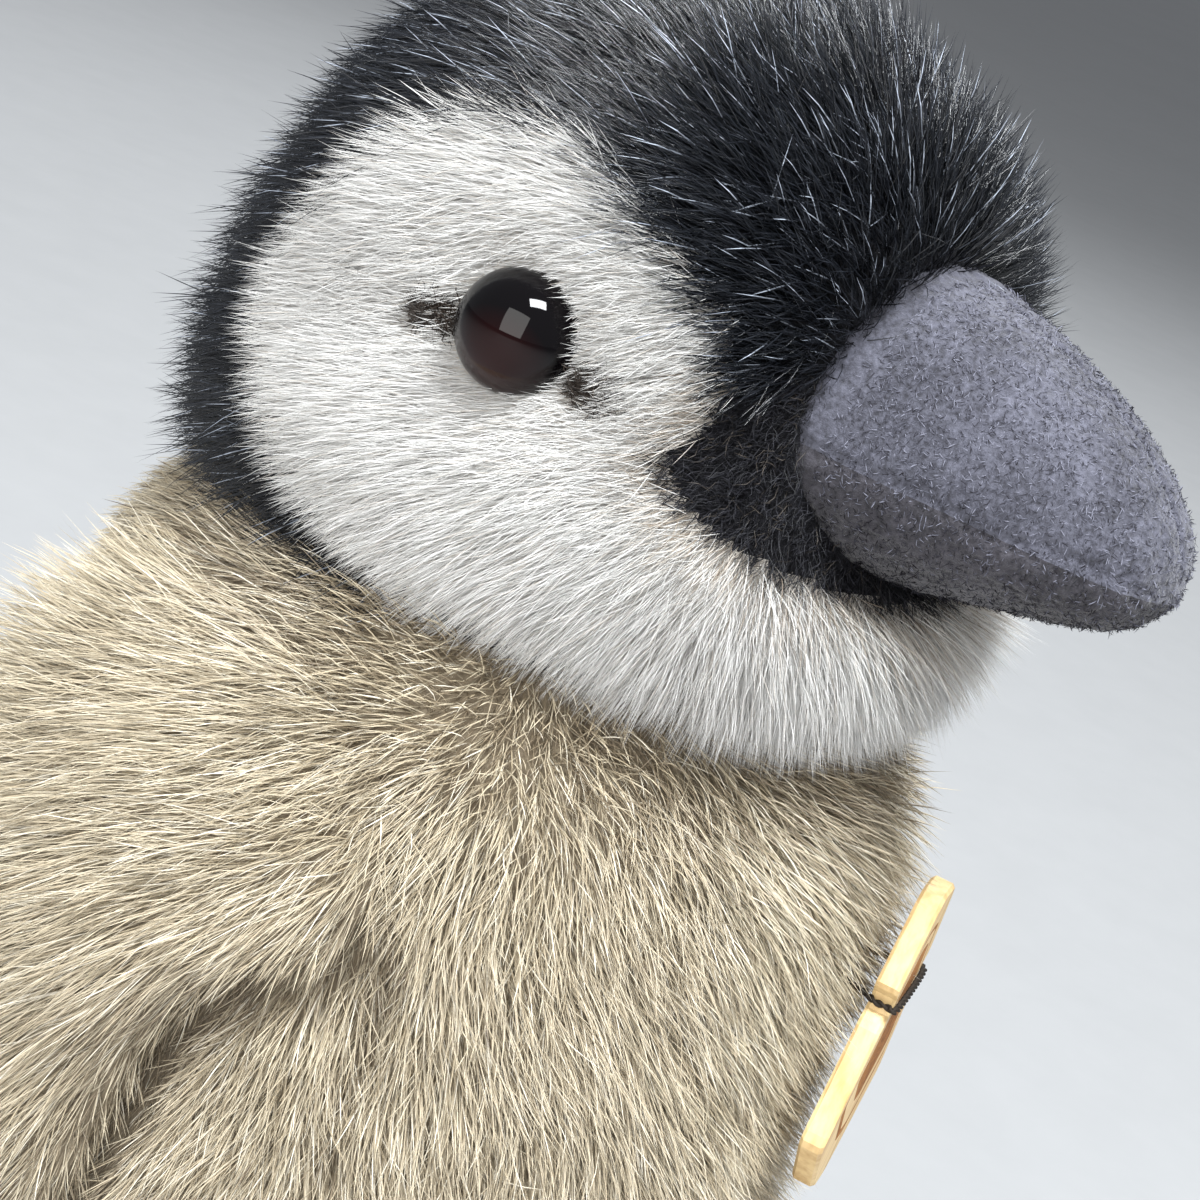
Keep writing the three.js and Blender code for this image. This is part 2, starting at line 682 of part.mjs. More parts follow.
const tailWhole = (thin) => formedSphere(12, TAIL_ROWS, tailPoint(thin)).subtract(bodyClear);
const tailShell = tailWhole(0).subtract(formedSphere(12, TAIL_ROWS, tailPoint(FABRIC)));
const tailSlope = THREE.MathUtils.radToDeg(Math.atan2(tailTip.z - tailRoot.z, tailTip.y - tailRoot.y));
const tailHalf = (low, high) => slab(low, high).rotate([tailSlope, 0, 0]).translate(TAIL_ROOT);
addPiece("tail_upper", tailShell.intersect(tailHalf(GAP / 2, TAIL_WIDTH)), COLOURS.beigePile);
addPiece("tail_lower", tailShell.intersect(tailHalf(-TAIL_WIDTH, -GAP / 2)), COLOURS.beigePile);
addPiece("tail_stuffing", tailWhole(FABRIC + GAP), COLOURS.fibre);

// ---------- tag ----------

// One side of the tag, from its top to its foot: distance from the middle and height above the waist.
function tagOutline() {
  const rise = TAG_TOP - TAG_CORNER;
  const waist = TAG_TOP_WIDTH / 2 + ((TAG_CORNER_WIDTH - TAG_TOP_WIDTH) / 2) * (TAG_TOP / rise);
  const corner = 3;
  const cut = 0.3 * corner;
  return [
    [TAG_TOP_WIDTH / 2 - corner, TAG_TOP],
    [TAG_TOP_WIDTH / 2 - cut, TAG_TOP - cut],
    [TAG_TOP_WIDTH / 2, TAG_TOP - corner],
    [waist, NOTCH_HALF_HEIGHT],
    [waist - NOTCH_DEPTH, NOTCH_FLOOR_HALF_HEIGHT],
    [waist - NOTCH_DEPTH, -NOTCH_FLOOR_HALF_HEIGHT],
    [waist, -NOTCH_HALF_HEIGHT],
    [TAG_CORNER_WIDTH / 2, TAG_CORNER],
    [TAG_BOTTOM_WIDTH / 2, TAG_BOTTOM],
  ];
}

const tagSide = tagOutline();
const tagRing = [...tagSide, ...tagSide.map(([x, z]) => [-x, z]).reverse()];
const tagPlate = prism(tagRing, -TAG_THICKNESS / 2, TAG_THICKNESS / 2);
const tagPlace = around(TAG_ANGLE, TAG_RADIUS, TAG_WAIST_Z);
const onChest = (solid) => solid.rotate([0, 0, TAG_ANGLE]).translate(tagPlace.toArray());
addPiece("wooden_tag", onChest(tagPlate.rotate([90, 0, 0])), COLOURS.wood, 0.6);

// The cord leaves the chest, runs through both notches across the tag's face, and goes back into the chest.
const cordRadius = CORD_DIAMETER / 2;
const notchX = tagSide[4][0] + CORD_CLEARANCE + cordRadius;
const faceY = TAG_THICKNESS / 2 + CORD_CLEARANCE + cordRadius;
const chestDepth = TAG_RADIUS - bodyRadiusAt(TAG_WAIST_Z) - GAP - cordRadius;
const cordSide = [
  [1.6, -chestDepth],
  [4, -chestDepth + 1.6],
  [notchX - 1.2, -faceY - 1],
  [notchX, -faceY + 1],
  [notchX, faceY - 0.9],
  [notchX - 0.8, faceY],
];
const cordPoints = [...cordSide, ...cordSide.map(([x, y]) => [-x, y]).reverse()];
const cordPlaces = cordPoints.map(([x, y]) => new THREE.Vector3(x, -y, 0));
const cordPath = new THREE.CatmullRomCurve3(cordPlaces, false, "centripetal");
const cordSection = new THREE.Shape();
cordSection.absarc(0, 0, cordRadius, 0, 2 * Math.PI, false);
const cord = new THREE.ExtrudeGeometry(cordSection, { steps: 34, curveSegments: 4, extrudePath: cordPath });
addPiece("tag_cord", onChest(toSolid(cord)), COLOURS.thread);

toy.updateMatrixWorld(true);
export default toy;
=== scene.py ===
"""A plush penguin chick: sewn skins, pile made of mesh fibres, a suede beak and feet, glossy safety eyes,
stitched eye corners, and a wooden tag on a twisted cord. Lengths are in millimetres from the toy's upright
axis and turn into metres where a mesh is made. The penguin faces -y, and its left side is +x."""

import itertools
import math

import bpy
import numpy as np
from mathutils import Matrix, Vector


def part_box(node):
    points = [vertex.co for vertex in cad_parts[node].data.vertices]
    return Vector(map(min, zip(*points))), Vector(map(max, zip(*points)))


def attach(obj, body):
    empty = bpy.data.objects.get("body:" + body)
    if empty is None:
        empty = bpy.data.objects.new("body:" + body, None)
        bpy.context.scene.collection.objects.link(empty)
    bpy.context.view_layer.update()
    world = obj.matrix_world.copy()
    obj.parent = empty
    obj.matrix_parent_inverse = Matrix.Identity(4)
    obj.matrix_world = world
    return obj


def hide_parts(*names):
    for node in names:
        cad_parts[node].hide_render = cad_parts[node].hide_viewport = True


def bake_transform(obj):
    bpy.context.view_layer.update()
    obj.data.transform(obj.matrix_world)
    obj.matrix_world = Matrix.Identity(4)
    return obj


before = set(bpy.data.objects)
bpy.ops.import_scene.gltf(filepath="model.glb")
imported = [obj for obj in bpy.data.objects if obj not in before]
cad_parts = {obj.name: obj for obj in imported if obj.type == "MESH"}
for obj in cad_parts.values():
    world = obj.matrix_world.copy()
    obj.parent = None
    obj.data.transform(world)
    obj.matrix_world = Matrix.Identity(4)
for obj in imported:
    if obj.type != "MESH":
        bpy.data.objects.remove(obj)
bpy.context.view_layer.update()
rng = np.random.default_rng(20)

# ---------- sizes shared with the frame ----------

MM = 0.001


def box_mm(node):
    low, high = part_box(node)
    return np.array(low) / MM, np.array(high) / MM


base_low, base_high = box_mm("base_panel")
AXIS_Y = (base_low[1] + base_high[1]) / 2
NECK_Z = box_mm("body_front")[1][2] + 0.15
HEAD_Z = NECK_Z + 30

# Radius and height of the body, from the ground up.
BODY_PROFILE = [
    (28, 0), (36, 6), (43, 18), (47.4, 36), (48, 55),
    (46.6, 78), (44.6, 104), (43.4, 130), (41.6, 149), (34.5, 160),
]
# Radius of the head and height above HEAD_Z.
HEAD_PROFILE = [
    (34.5, -30), (36.8, -25), (38, -17), (37.4, -8), (36.4, 0),
    (34.6, 9), (30, 18), (22.5, 25), (12, 30), (0, 31.8),
]
HEAD_WIDTH = 0.97
CROWN_LEAN = 3
CHEEK_FULLNESS = 0.07
CHEEK_LEVEL = -17
FRONT_SEAM = 58

# Side-view outlines: distance behind the head's axis and height above HEAD_Z.
CHEEK_OUTLINE = [
    (-46, -31), (-17, -28.5), (-3, -25.5), (7, -20.5), (14, -14), (18, -6), (14.5, 4),
    (8, 12), (0, 16.5), (-9, 16.5), (-17, 13), (-24, 7.5), (-28, 2), (-46, 0),
]
LORE_OUTLINE = [(-46, 9), (-34, 6), (-27, 2.5), (-26, -2.6), (-24.9, -6.4), (-30.2, -11.1), (-46, -15.6)]
BAND_TOP = -27.6

BEAK_RIDGE = [(-65, -1.4), (-62.6, 4.4), (-56.4, 9.8), (-48, 13.6), (-38, 16.4), (-24, 18)]
BEAK_KEEL = [(-65, -1.4), (-61.4, -6.2), (-53, -9.2), (-46, -11), (-38, -12.8), (-24, -14)]
BEAK_GAPE = [(-65, 0), (-62.4, 6), (-55.5, 10.4), (-46, 14), (-36, 17.2), (-24, 19.5)]
MOUTH_Z = -1

FLIPPER_CLEARANCE = 0.6
FLIPPER_TIP_Z = 57
# Height, middle angle, half its width in degrees, and thickness of the flipper, from the shoulder, where it
# thins out into the body's side, down to the tip.
FLIPPER_STATIONS = [
    (152, 96, 18, 0), (146, 95, 28, 2.2), (139, 95, 32, 5), (132, 96.5, 32, 7.2), (126, 99, 26, 8.4),
    (117, 102, 22.5, 9), (98, 106, 22.5, 9), (76, 105, 18, 8), (62, 104, 11, 6), (FLIPPER_TIP_Z, 104, 3, 3),
]

EYE_ANGLE = 75
EYE_Z = 189.3
STITCH_ANGLES = (61, 88.5)
STITCH_Z = EYE_Z - 1.9
EYE_RADIUS = 6
EYE_DOME = 5.6
UP = np.array((0.0, 0.0, 1.0))

SIDES = (("left", 1), ("right", -1))

# ---------- curves and grids ----------


def catmull(points, count):
    """Points along a smooth curve through the given ones, evenly spaced in its own parameter."""
    points = np.array(points, float)
    last = len(points) - 1
    t = np.linspace(0, last, count)
    i = np.minimum(t.astype(int), last - 1)
    f = (t - i)[:, None]
    p0, p1 = points[np.maximum(i - 1, 0)], points[i]
    p2, p3 = points[i + 1], points[np.minimum(i + 2, last)]
    a, b = (p2 - p0) / 2, (p3 - p1) / 2
    return (2 * p1 - 2 * p2 + a + b) * f**3 + (3 * p2 - 3 * p1 - 2 * a - b) * f**2 + a * f + p1


def unit(v):
    return v / np.maximum(np.linalg.norm(v, axis=-1, keepdims=True), 1e-9)


def around(angle, radius, z):
    a = np.radians(angle)
    return np.stack(np.broadcast_arrays(radius * np.sin(a), -radius * np.cos(a), z), -1).astype(float)


def angle_of(points):
    """Degrees from straight ahead, positive towards the penguin's left."""
    return np.degrees(np.arctan2(points[..., 0], -points[..., 1]))


def even_rows(curve, count):
    """The curve resampled at equal steps of its length."""
    steps = np.linalg.norm(np.diff(curve, axis=0), axis=1)
    reach = np.concatenate([[0], np.cumsum(steps)])
    wanted = np.linspace(0, reach[-1], count)
    return np.stack([np.interp(wanted, reach, curve[:, k]) for k in range(curve.shape[1])], 1)


def lattice_hash(k, seed):
    """A fixed scrambled number from 0 to 65535 for each whole-numbered place."""
    h = (k[..., 0] * 73856093) ^ (k[..., 1] * 19349663) ^ (k[..., 2] * 83492791) ^ (seed * 2654435761)
    h = (h ^ (h >> 13)) * 1274126177 & 0x7FFFFFFF
    return (h ^ (h >> 16)) & 0xFFFF


def lattice_noise(points, cell, seed):
    """Smooth noise from -1 to 1 on a lattice of the given cell, at each point."""
    q = np.asarray(points, float) / cell + 1000.0
    i = np.floor(q).astype(np.int64)
    f = q - i
    f = f * f * (3 - 2 * f)
    total = np.zeros(q.shape[:-1])
    for corner in range(8):
        d = np.array([corner & 1, corner >> 1 & 1, corner >> 2 & 1])
        weight = np.prod(np.where(d, f, 1 - f), axis=-1)
        total += weight * (lattice_hash(i + d, seed) / 32767.5 - 1)
    return total


def noise_vectors(points, cell, seed):
    return np.stack([lattice_noise(points, cell, seed + k) for k in range(3)], -1)


def lock_centres(points, cell, seed):
    """The nearest of a jittered lattice of points: what each lock of pile gathers towards."""
    q = points / cell
    i = np.floor(q).astype(np.int64)
    best = np.full(len(q), 1e9)
    centre = q.copy()
    for step in itertools.product((-1, 0, 1), repeat=3):
        k = i + np.array(step)
        c = k + np.stack([lattice_hash(k, seed + axis) / 65535 for axis in range(3)], 1)
        d = ((c - q) ** 2).sum(1)
        near = d < best
        best[near] = d[near]
        centre[near] = c[near]
    return centre * cell


def head_form(points):
    x, y, z = points[..., 0], points[..., 1], points[..., 2]
    height = z - HEAD_Z
    ahead = np.maximum(0, -y / np.maximum(np.hypot(x, y), 1e-6))
    fullness = CHEEK_FULLNESS * ahead**1.5 * np.exp(-(((height - CHEEK_LEVEL) / 9) ** 2))
    lean = CROWN_LEAN * (np.maximum(height, 0) / 32) ** 2
    return np.stack([x * HEAD_WIDTH * (1 + fullness), y * (1 + fullness) - lean, z], -1)


def turned_grid(profile, rows, columns):
    """A grid of points round the axis, with columns counted from straight ahead."""
    curve = even_rows(catmull(profile, 40 * len(profile)), rows)
    angles = np.linspace(0, 360, columns, endpoint=False)
    return around(angles[None, :], curve[:, :1], curve[:, 1:])


head_profile = [(r, HEAD_Z + z) for r, z in HEAD_PROFILE]
head_grid = head_form(turned_grid(head_profile, 110, 300))
body_curve = catmull(BODY_PROFILE, 400)
body_grid = turned_grid(BODY_PROFILE, 150, 300)


def body_radius(z):
    return np.interp(z, body_curve[:, 1], body_curve[:, 0])


def head_radius(angle, z):
    curve = catmull(head_profile, 400)
    r = np.interp(z, curve[:, 1], curve[:, 0])
    return np.hypot(*head_form(around(angle, r, z))[:2])


def inside(outline, y, z):
    """Whether each point lies in a closed side-view outline."""
    ring = catmull(outline, 6 * len(outline))
    y0, z0 = ring[:, 0], ring[:, 1]
    y1, z1 = np.roll(y0, -1), np.roll(z0, -1)
    hit = np.zeros(np.shape(y), bool)
    for a, b, c, d in zip(y0, z0, y1, z1):
        if b != d:
            hit ^= ((b > z) != (d > z)) & (y < (c - a) * (z - b) / (d - b) + a)
    return hit


def edge_distance(outline, y, z):
    """How far each point is from the outline."""
    ring = catmull(outline, 8 * len(outline))
    best = np.full(np.shape(y), 1e9)
    for (a, b), (c, d) in zip(ring[:-1], ring[1:]):
        length = max((c - a) ** 2 + (d - b) ** 2, 1e-9)
        t = np.clip(((y - a) * (c - a) + (z - b) * (d - b)) / length, 0, 1)
        best = np.minimum(best, np.hypot(y - a - t * (c - a), z - b - t * (d - b)))
    return best


def in_beak(points, grow=1.0):
    """Whether each point of the head's surface lies under the beak's base."""
    ridge, keel, gape = (catmull(c, 200) for c in (BEAK_RIDGE, BEAK_KEEL, BEAK_GAPE))
    y = points[..., 1]
    high = np.interp(y, ridge[:, 0], ridge[:, 1])
    low = np.interp(y, keel[:, 0], keel[:, 1])
    half = np.interp(y, gape[:, 0], gape[:, 1]) * grow
    rise = points[..., 2] - HEAD_Z - MOUTH_Z
    reach = np.where(rise > 0, high - MOUTH_Z, MOUTH_Z - low) * grow
    return (y < 0) & ((points[..., 0] / half) ** 2 + (rise / reach) ** 2 < 1)


# ---------- materials ----------


def new_material(name):
    material = bpy.data.materials.new(name)
    material.use_nodes = True
    return material, material.node_tree, material.node_tree.nodes["Principled BSDF"]


def fibre_material(name, colour, roughness=0.45, specular=0.5, sheen=0.0):
    material, _, shader = new_material(name)
    shader.inputs["Base Color"].default_value = (*colour, 1)
    shader.inputs["Roughness"].default_value = roughness
    shader.inputs["Specular IOR Level"].default_value = specular
    shader.inputs["Sheen Weight"].default_value = sheen
    return material


def noise_texture(tree, vector, **settings):
    noise = tree.nodes.new("ShaderNodeTexNoise")
    for key, value in settings.items():
        noise.inputs[key].default_value = value
    tree.links.new(vector, noise.inputs["Vector"])
    return noise.outputs["Fac"]


def two_tone(tree, factor, shader, stops):
    """A ramp of two colours, each with its place on the ramp, as the base colour."""
    ramp = tree.nodes.new("ShaderNodeValToRGB")
    for element, (position, colour) in zip(ramp.color_ramp.elements, stops):
        element.position = position
        element.color = (*colour, 1)
    tree.links.new(factor, ramp.inputs["Fac"])
    tree.links.new(ramp.outputs["Color"], shader.inputs["Base Color"])


def grained(name, stretch, fine, broad, share, stops, bump, depth):
    """Two colours mixed by a fine and a broad noise, with relief from the fine one."""
    material, tree, shader = new_material(name)
    place = tree.nodes.new("ShaderNodeTexCoord")
    mapping = tree.nodes.new("ShaderNodeMapping")
    mapping.inputs["Scale"].default_value = stretch
    tree.links.new(place.outputs["Object"], mapping.inputs["Vector"])
    fine_noise = noise_texture(tree, mapping.outputs["Vector"], **fine)
    both = tree.nodes.new("ShaderNodeMix")
    both.inputs["Factor"].default_value = share
    tree.links.new(fine_noise, both.inputs[2])
    tree.links.new(noise_texture(tree, mapping.outputs["Vector"], **broad), both.inputs[3])
    two_tone(tree, both.outputs[0], shader, stops)
    relief = tree.nodes.new("ShaderNodeBump")
    relief.inputs["Strength"].default_value = bump
    relief.inputs["Distance"].default_value = depth
    tree.links.new(fine_noise, relief.inputs["Height"])
    tree.links.new(relief.outputs["Normal"], shader.inputs["Normal"])
    return material, shader


def mottled(name, dark, light, scale, roughness=0.85, bump=0.4, depth=0.0004, sheen=0.0, stretch=(1, 1, 1)):
    """A fabric-like surface."""
    fine = {"Scale": scale, "Detail": 6, "Roughness": 0.65}
    broad = {"Scale": scale / 14, "Detail": 3}
    material, shader = grained(name, stretch, fine, broad, 0.35, ((0.36, dark), (0.64, light)), bump, depth)
    shader.inputs["Roughness"].default_value = roughness
    shader.inputs["Specular IOR Level"].default_value = 0.25
    shader.inputs["Sheen Weight"].default_value = sheen
    shader.inputs["Sheen Roughness"].default_value = 0.5
    return material


def shade(colour, k):
    return tuple(min(c * k, 1) for c in colour)


def tones(name, hues, levels, **settings):
    """Fibre materials for each hue, from root to tip; a strand takes one hue and all its levels."""
    made = []
    for i, hue in enumerate(hues):
        for j, level in enumerate(levels):
            made.append(fibre_material(f"{name}_{i}_{j}", shade(hue, level), **settings))
    return made


# The fourth hue, pale blue-grey, stands in for glints on the black pile: painted highlights.
BLACK = tones(
    "black_fibre",
    [(0.008, 0.009, 0.012), (0.014, 0.016, 0.021), (0.004, 0.005, 0.007), (0.30, 0.33, 0.39)],
    [0.4, 0.9, 1.5],
    roughness=0.22,
    specular=0.6,
)
SHORT_BLACK = tones(
    "short_black_fibre",
    [(0.009, 0.009, 0.012), (0.021, 0.021, 0.027), (0.080, 0.068, 0.058)],
    [0.4, 0.9, 1.2],
    roughness=0.5,
    specular=0.35,
)
WHITE = tones(
    "white_fibre",
    [(0.69, 0.68, 0.66), (0.75, 0.745, 0.73), (0.65, 0.605, 0.55), (0.33, 0.27, 0.21)],
    [0.96, 1.0, 1.04],
    roughness=0.40,
    specular=0.5,
)
# The fourth hue is pale strands, partly the pile's pale fibres and partly painted glints.
BEIGE = tones(
    "beige_fibre",
    [
        (0.565, 0.485, 0.350), (0.62, 0.545, 0.405), (0.49, 0.41, 0.285),
        (0.84, 0.78, 0.65), (0.12, 0.085, 0.055), (0.25, 0.20, 0.135),
    ],
    [0.86, 0.98, 1.07],
    roughness=0.36,
    specular=0.5,
)
# The last hue, and partly the third, are painted shade for the beak's underside.
SUEDE_NAP = tones(
    "suede_nap",
    [(0.115, 0.117, 0.150), (0.205, 0.209, 0.262), (0.040, 0.039, 0.050), (0.016, 0.014, 0.018)],
    [0.7, 1.0, 1.25],
    roughness=0.8,
    specular=0.2,
)
FOOT_NAP = tones(
    "foot_nap",
    [(0.055, 0.054, 0.066), (0.085, 0.083, 0.100), (0.030, 0.029, 0.037)],
    [0.7, 1.0, 1.25],
    roughness=0.8,
    specular=0.2,
)
THREAD = tones("brown_thread", [(0.018, 0.012, 0.008), (0.036, 0.025, 0.018)], [0.6, 1.0, 1.3], roughness=0.5)

black_skin = mottled("black_backing", (0.003, 0.003, 0.004), (0.012, 0.012, 0.015), 900)
short_skin = mottled("short_black_backing", (0.006, 0.006, 0.008), (0.020, 0.020, 0.025), 900)
white_skin = mottled("white_backing", (0.66, 0.60, 0.53), (0.84, 0.80, 0.75), 900)
beige_skin = mottled("beige_backing", (0.20, 0.16, 0.11), (0.36, 0.30, 0.215), 900, stretch=(1, 1, 0.35))
SUEDE = {"scale": 1500, "roughness": 0.9, "bump": 0.9, "depth": 0.00035, "sheen": 0.3}
beak_suede = mottled("beak_suede_cloth", (0.034, 0.034, 0.044), (0.150, 0.153, 0.198), **SUEDE)
# The lower beak's cloth is a darker copy of the upper's: painted shade under the beak.
beak_painted_shade = mottled("beak_suede_painted_shade", (0.018, 0.017, 0.021), (0.075, 0.071, 0.086), **SUEDE)
foot_suede = mottled("foot_suede_cloth", (0.026, 0.026, 0.032), (0.075, 0.073, 0.088), **SUEDE)
fibre_filling = mottled("loose_fibre", (0.70, 0.70, 0.68), (0.92, 0.92, 0.90), 600, bump=0.9, depth=0.001)
washer_plastic = mottled("washer_moulding", (0.78, 0.78, 0.76), (0.84, 0.84, 0.82), 300, 0.4, 0.1, 0.0001)
pellet_cloth = mottled("pellet_bag_cloth", (0.62, 0.58, 0.50), (0.74, 0.70, 0.62), 1200, 0.9, 0.6, 0.0003)
dark_thread = mottled("dark_thread", (0.010, 0.008, 0.006), (0.040, 0.030, 0.023), 2500, 0.7, 0.5, 0.0001)


def eye_material(name, centre, outward):
    """Black plastic with a red-brown glow below its middle, painted light shining through the plastic, and a
    clear gloss.
    """
    material, tree, shader = new_material(name)
    nodes, links = tree.nodes, tree.links
    place = nodes.new("ShaderNodeTexCoord")
    painted_glow = nodes.new("ShaderNodeVectorMath")
    painted_glow.operation = "DISTANCE"
    low = np.array(centre) + np.array(outward) * 0.0035 + np.array((0, 0, -0.0022))
    painted_glow.inputs[1].default_value = tuple(low)
    links.new(place.outputs["Object"], painted_glow.inputs[0])
    reach = nodes.new("ShaderNodeMapRange")
    reach.inputs["From Min"].default_value = 0.0008
    reach.inputs["From Max"].default_value = 0.0052
    links.new(painted_glow.outputs["Value"], reach.inputs["Value"])
    # Painted light: red-brown at the glow's centre, fading to near black.
    stops = ((0, (0.022, 0.0035, 0.003)), (1, (0.0025, 0.002, 0.0025)))
    two_tone(tree, reach.outputs["Result"], shader, stops)
    shader.inputs["Roughness"].default_value = 0.04
    shader.inputs["IOR"].default_value = 1.34
    return material


def wood_material(name):
    """Pale sanded wood with an upright grain and fine pores."""
    grain = {"Scale": 900, "Detail": 5, "Roughness": 0.6}
    rings = {"Scale": 220, "Distortion": 0.6}
    stops = ((0.34, (0.62, 0.36, 0.13)), (0.60, (0.93, 0.68, 0.34)))
    material, shader = grained(name, (1, 1, 0.06), grain, rings, 0.5, stops, 0.25, 0.0002)
    shader.inputs["Roughness"].default_value = 0.55
    return material


# ---------- meshes ----------


def metres(points):
    return (np.asarray(points, float) + (0, AXIS_Y, 0)) * MM


def link(name, mesh, materials):
    for material in materials:
        mesh.materials.append(material)
    piece = bpy.data.objects.new(name, mesh)
    bpy.context.scene.collection.objects.link(piece)
    return piece


def mesh_from(name, points, faces, materials, smooth=True):
    mesh = bpy.data.meshes.new(name)
    mesh.from_pydata(metres(points).tolist(), [], [tuple(int(i) for i in f) for f in faces])
    mesh.polygons.foreach_set("use_smooth", [smooth] * len(mesh.polygons))
    mesh.update()
    return link(name, mesh, materials)


def grid_faces(rows, columns, wrap):
    r, c = np.meshgrid(np.arange(rows - 1), np.arange(columns if wrap else columns - 1), indexing="ij")
    d = (c + 1) % columns
    quads = np.stack([r * columns + c, r * columns + d, (r + 1) * columns + d, (r + 1) * columns + c], -1)
    return quads.reshape(-1, 4)


def trim(points, faces):
    """Only the points that the faces use."""
    used, place = np.unique(faces, return_inverse=True)
    return points[used], place.reshape(faces.shape)


def skin(name, grid, keep, material):
    """The part of a wrapped grid's surface whose faces are kept, as one piece."""
    faces = grid_faces(*grid.shape[:2], True)
    points, faces = trim(grid.reshape(-1, 3), faces[keep.reshape(-1)])
    return mesh_from(name, points, faces, [material])


def grid_middles(grid):
    faces = grid_faces(*grid.shape[:2], True)
    return grid.reshape(-1, 3)[faces].mean(1)


def fit(piece, node=None, body="toy_body"):
    """Fastens a piece to its body and hides the frame's part that it stands for."""
    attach(piece, body)
    if node is not None:
        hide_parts(node)


def scatter(grid, density):
    """Roots spread over a wrapped grid at a density per square millimetre, with the outward normal of each."""
    rows, columns = grid.shape[:2]
    faces = grid_faces(rows, columns, True)
    corners = grid.reshape(-1, 3)[faces]
    across = (corners[:, 1] + corners[:, 2] - corners[:, 0] - corners[:, 3]) / 2
    along = (corners[:, 2] + corners[:, 3] - corners[:, 0] - corners[:, 1]) / 2
    normal = np.cross(across, along)
    area = np.linalg.norm(normal, axis=1)
    middles = corners.mean(1)
    wanted = area * (density(middles) if callable(density) else density)
    counts = rng.poisson(wanted)
    chosen = np.repeat(np.arange(len(faces)), counts)
    u, v = rng.random((2, len(chosen), 1))
    c = corners[chosen]
    points = (c[:, 0] * (1 - u) + c[:, 1] * u) * (1 - v) + (c[:, 3] * (1 - u) + c[:, 2] * u) * v
    return points, unit(normal[chosen])


STEPS = (0.0, 0.38, 0.72, 1.0)


def grow(root, normal, flow, length, lift, droop, lock=0.0, lock_cell=3.0, ruffle=0.0, curl=0.0, floor=0.4):
    """Strand centre lines from roots: each leaves at its lift and bends by its droop towards the flow, gathers
    into locks, ruffles with smooth noise and may curl. Returns each strand's points at STEPS."""
    count = len(root)
    flow = unit(flow - normal * (flow * normal).sum(1, keepdims=True))
    side = np.cross(normal, flow)
    length, lift, droop = (np.broadcast_to(a, count).astype(float)[:, None] for a in (length, lift, droop))
    centre = [root]
    directions = []
    for a, b in zip(STEPS[:-1], STEPS[1:]):
        tilt = np.radians(lift - droop * (a + b) / 2)
        direction = flow * np.cos(tilt) + normal * np.sin(tilt)
        directions.append(direction)
        centre.append(centre[-1] + direction * length * (b - a))
    if lock:
        gather = lock_centres(root, lock_cell, 7) - root
        gather -= normal * (gather * normal).sum(1, keepdims=True)
        for k, s in enumerate(STEPS):
            centre[k] = centre[k] + gather * (lock * s**1.3)
    if ruffle:
        sway = noise_vectors(root, 9.0, 30) + 0.6 * noise_vectors(root, 3.5, 40)
        sway += rng.normal(0, 0.45, (count, 3))
        for k, s in enumerate(STEPS):
            centre[k] = centre[k] + sway * (ruffle * length * s**1.5)
    if curl:
        phase = rng.random((count, 1)) * 2 * np.pi
        for k, s in enumerate(STEPS):
            turn = phase + s * 5.5
            circle = side * np.cos(turn) + normal * np.sin(turn)
            centre[k] = centre[k] + circle * (curl * length * min(s * 2, 1))
    for k in range(1, len(centre)):
        centre[k][:, 2] = np.maximum(centre[k][:, 2], floor)
    return np.stack(centre, 1)


MOST_STRANDS = 38000
# How wide a strand is at each of STEPS.
TAPER = (0.8, 1.0, 0.8, 0.0)


def fur(name, centre, normal, width, hue, materials, twist=0.6):
    """Tapered ribbons along the centre lines, with rounded shading, split into pieces that stay light."""
    count, steps = centre.shape[:2]
    levels = steps - 1
    along = np.empty_like(centre)
    along[:, 1:-1] = centre[:, 2:] - centre[:, :-2]
    along[:, 0] = centre[:, 1] - centre[:, 0]
    along[:, -1] = centre[:, -1] - centre[:, -2]
    along = unit(along)
    side = unit(np.cross(along, normal[:, None, :]))
    face = np.cross(side, along)
    turn = rng.normal(0, twist, (count, 1, 1))
    side, face = side * np.cos(turn) + face * np.sin(turn), face * np.cos(turn) - side * np.sin(turn)
    width = np.broadcast_to(np.asarray(width, float), count)[:, None, None]
    taper = np.array(TAPER)[None, :, None]
    left = centre - side * width * taper / 2
    right = centre + side * width * taper / 2
    soft = unit(face + 0.5 * normal[:, None, :])
    left_normal = unit(soft * 0.7 - side * 0.7)
    right_normal = unit(soft * 0.7 + side * 0.7)
    points = np.empty((count, 2 * levels + 1, 3))
    normals = np.empty_like(points)
    points[:, 0:-1:2], points[:, 1:-1:2] = left[:, :-1], right[:, :-1]
    normals[:, 0:-1:2], normals[:, 1:-1:2] = left_normal[:, :-1], right_normal[:, :-1]
    points[:, -1], normals[:, -1] = centre[:, -1], soft[:, -1]
    hue = np.asarray(hue)
    pieces = []
    parts = max(1, math.ceil(count / MOST_STRANDS))
    order = np.argsort(angle_of(centre[:, 0]), kind="stable")
    for part, chosen in enumerate(np.array_split(order, parts)):
        label = f"{name}_{part + 1}" if parts > 1 else name
        pieces.append(ribbons(label, points[chosen], normals[chosen], hue[chosen], materials))
    return pieces


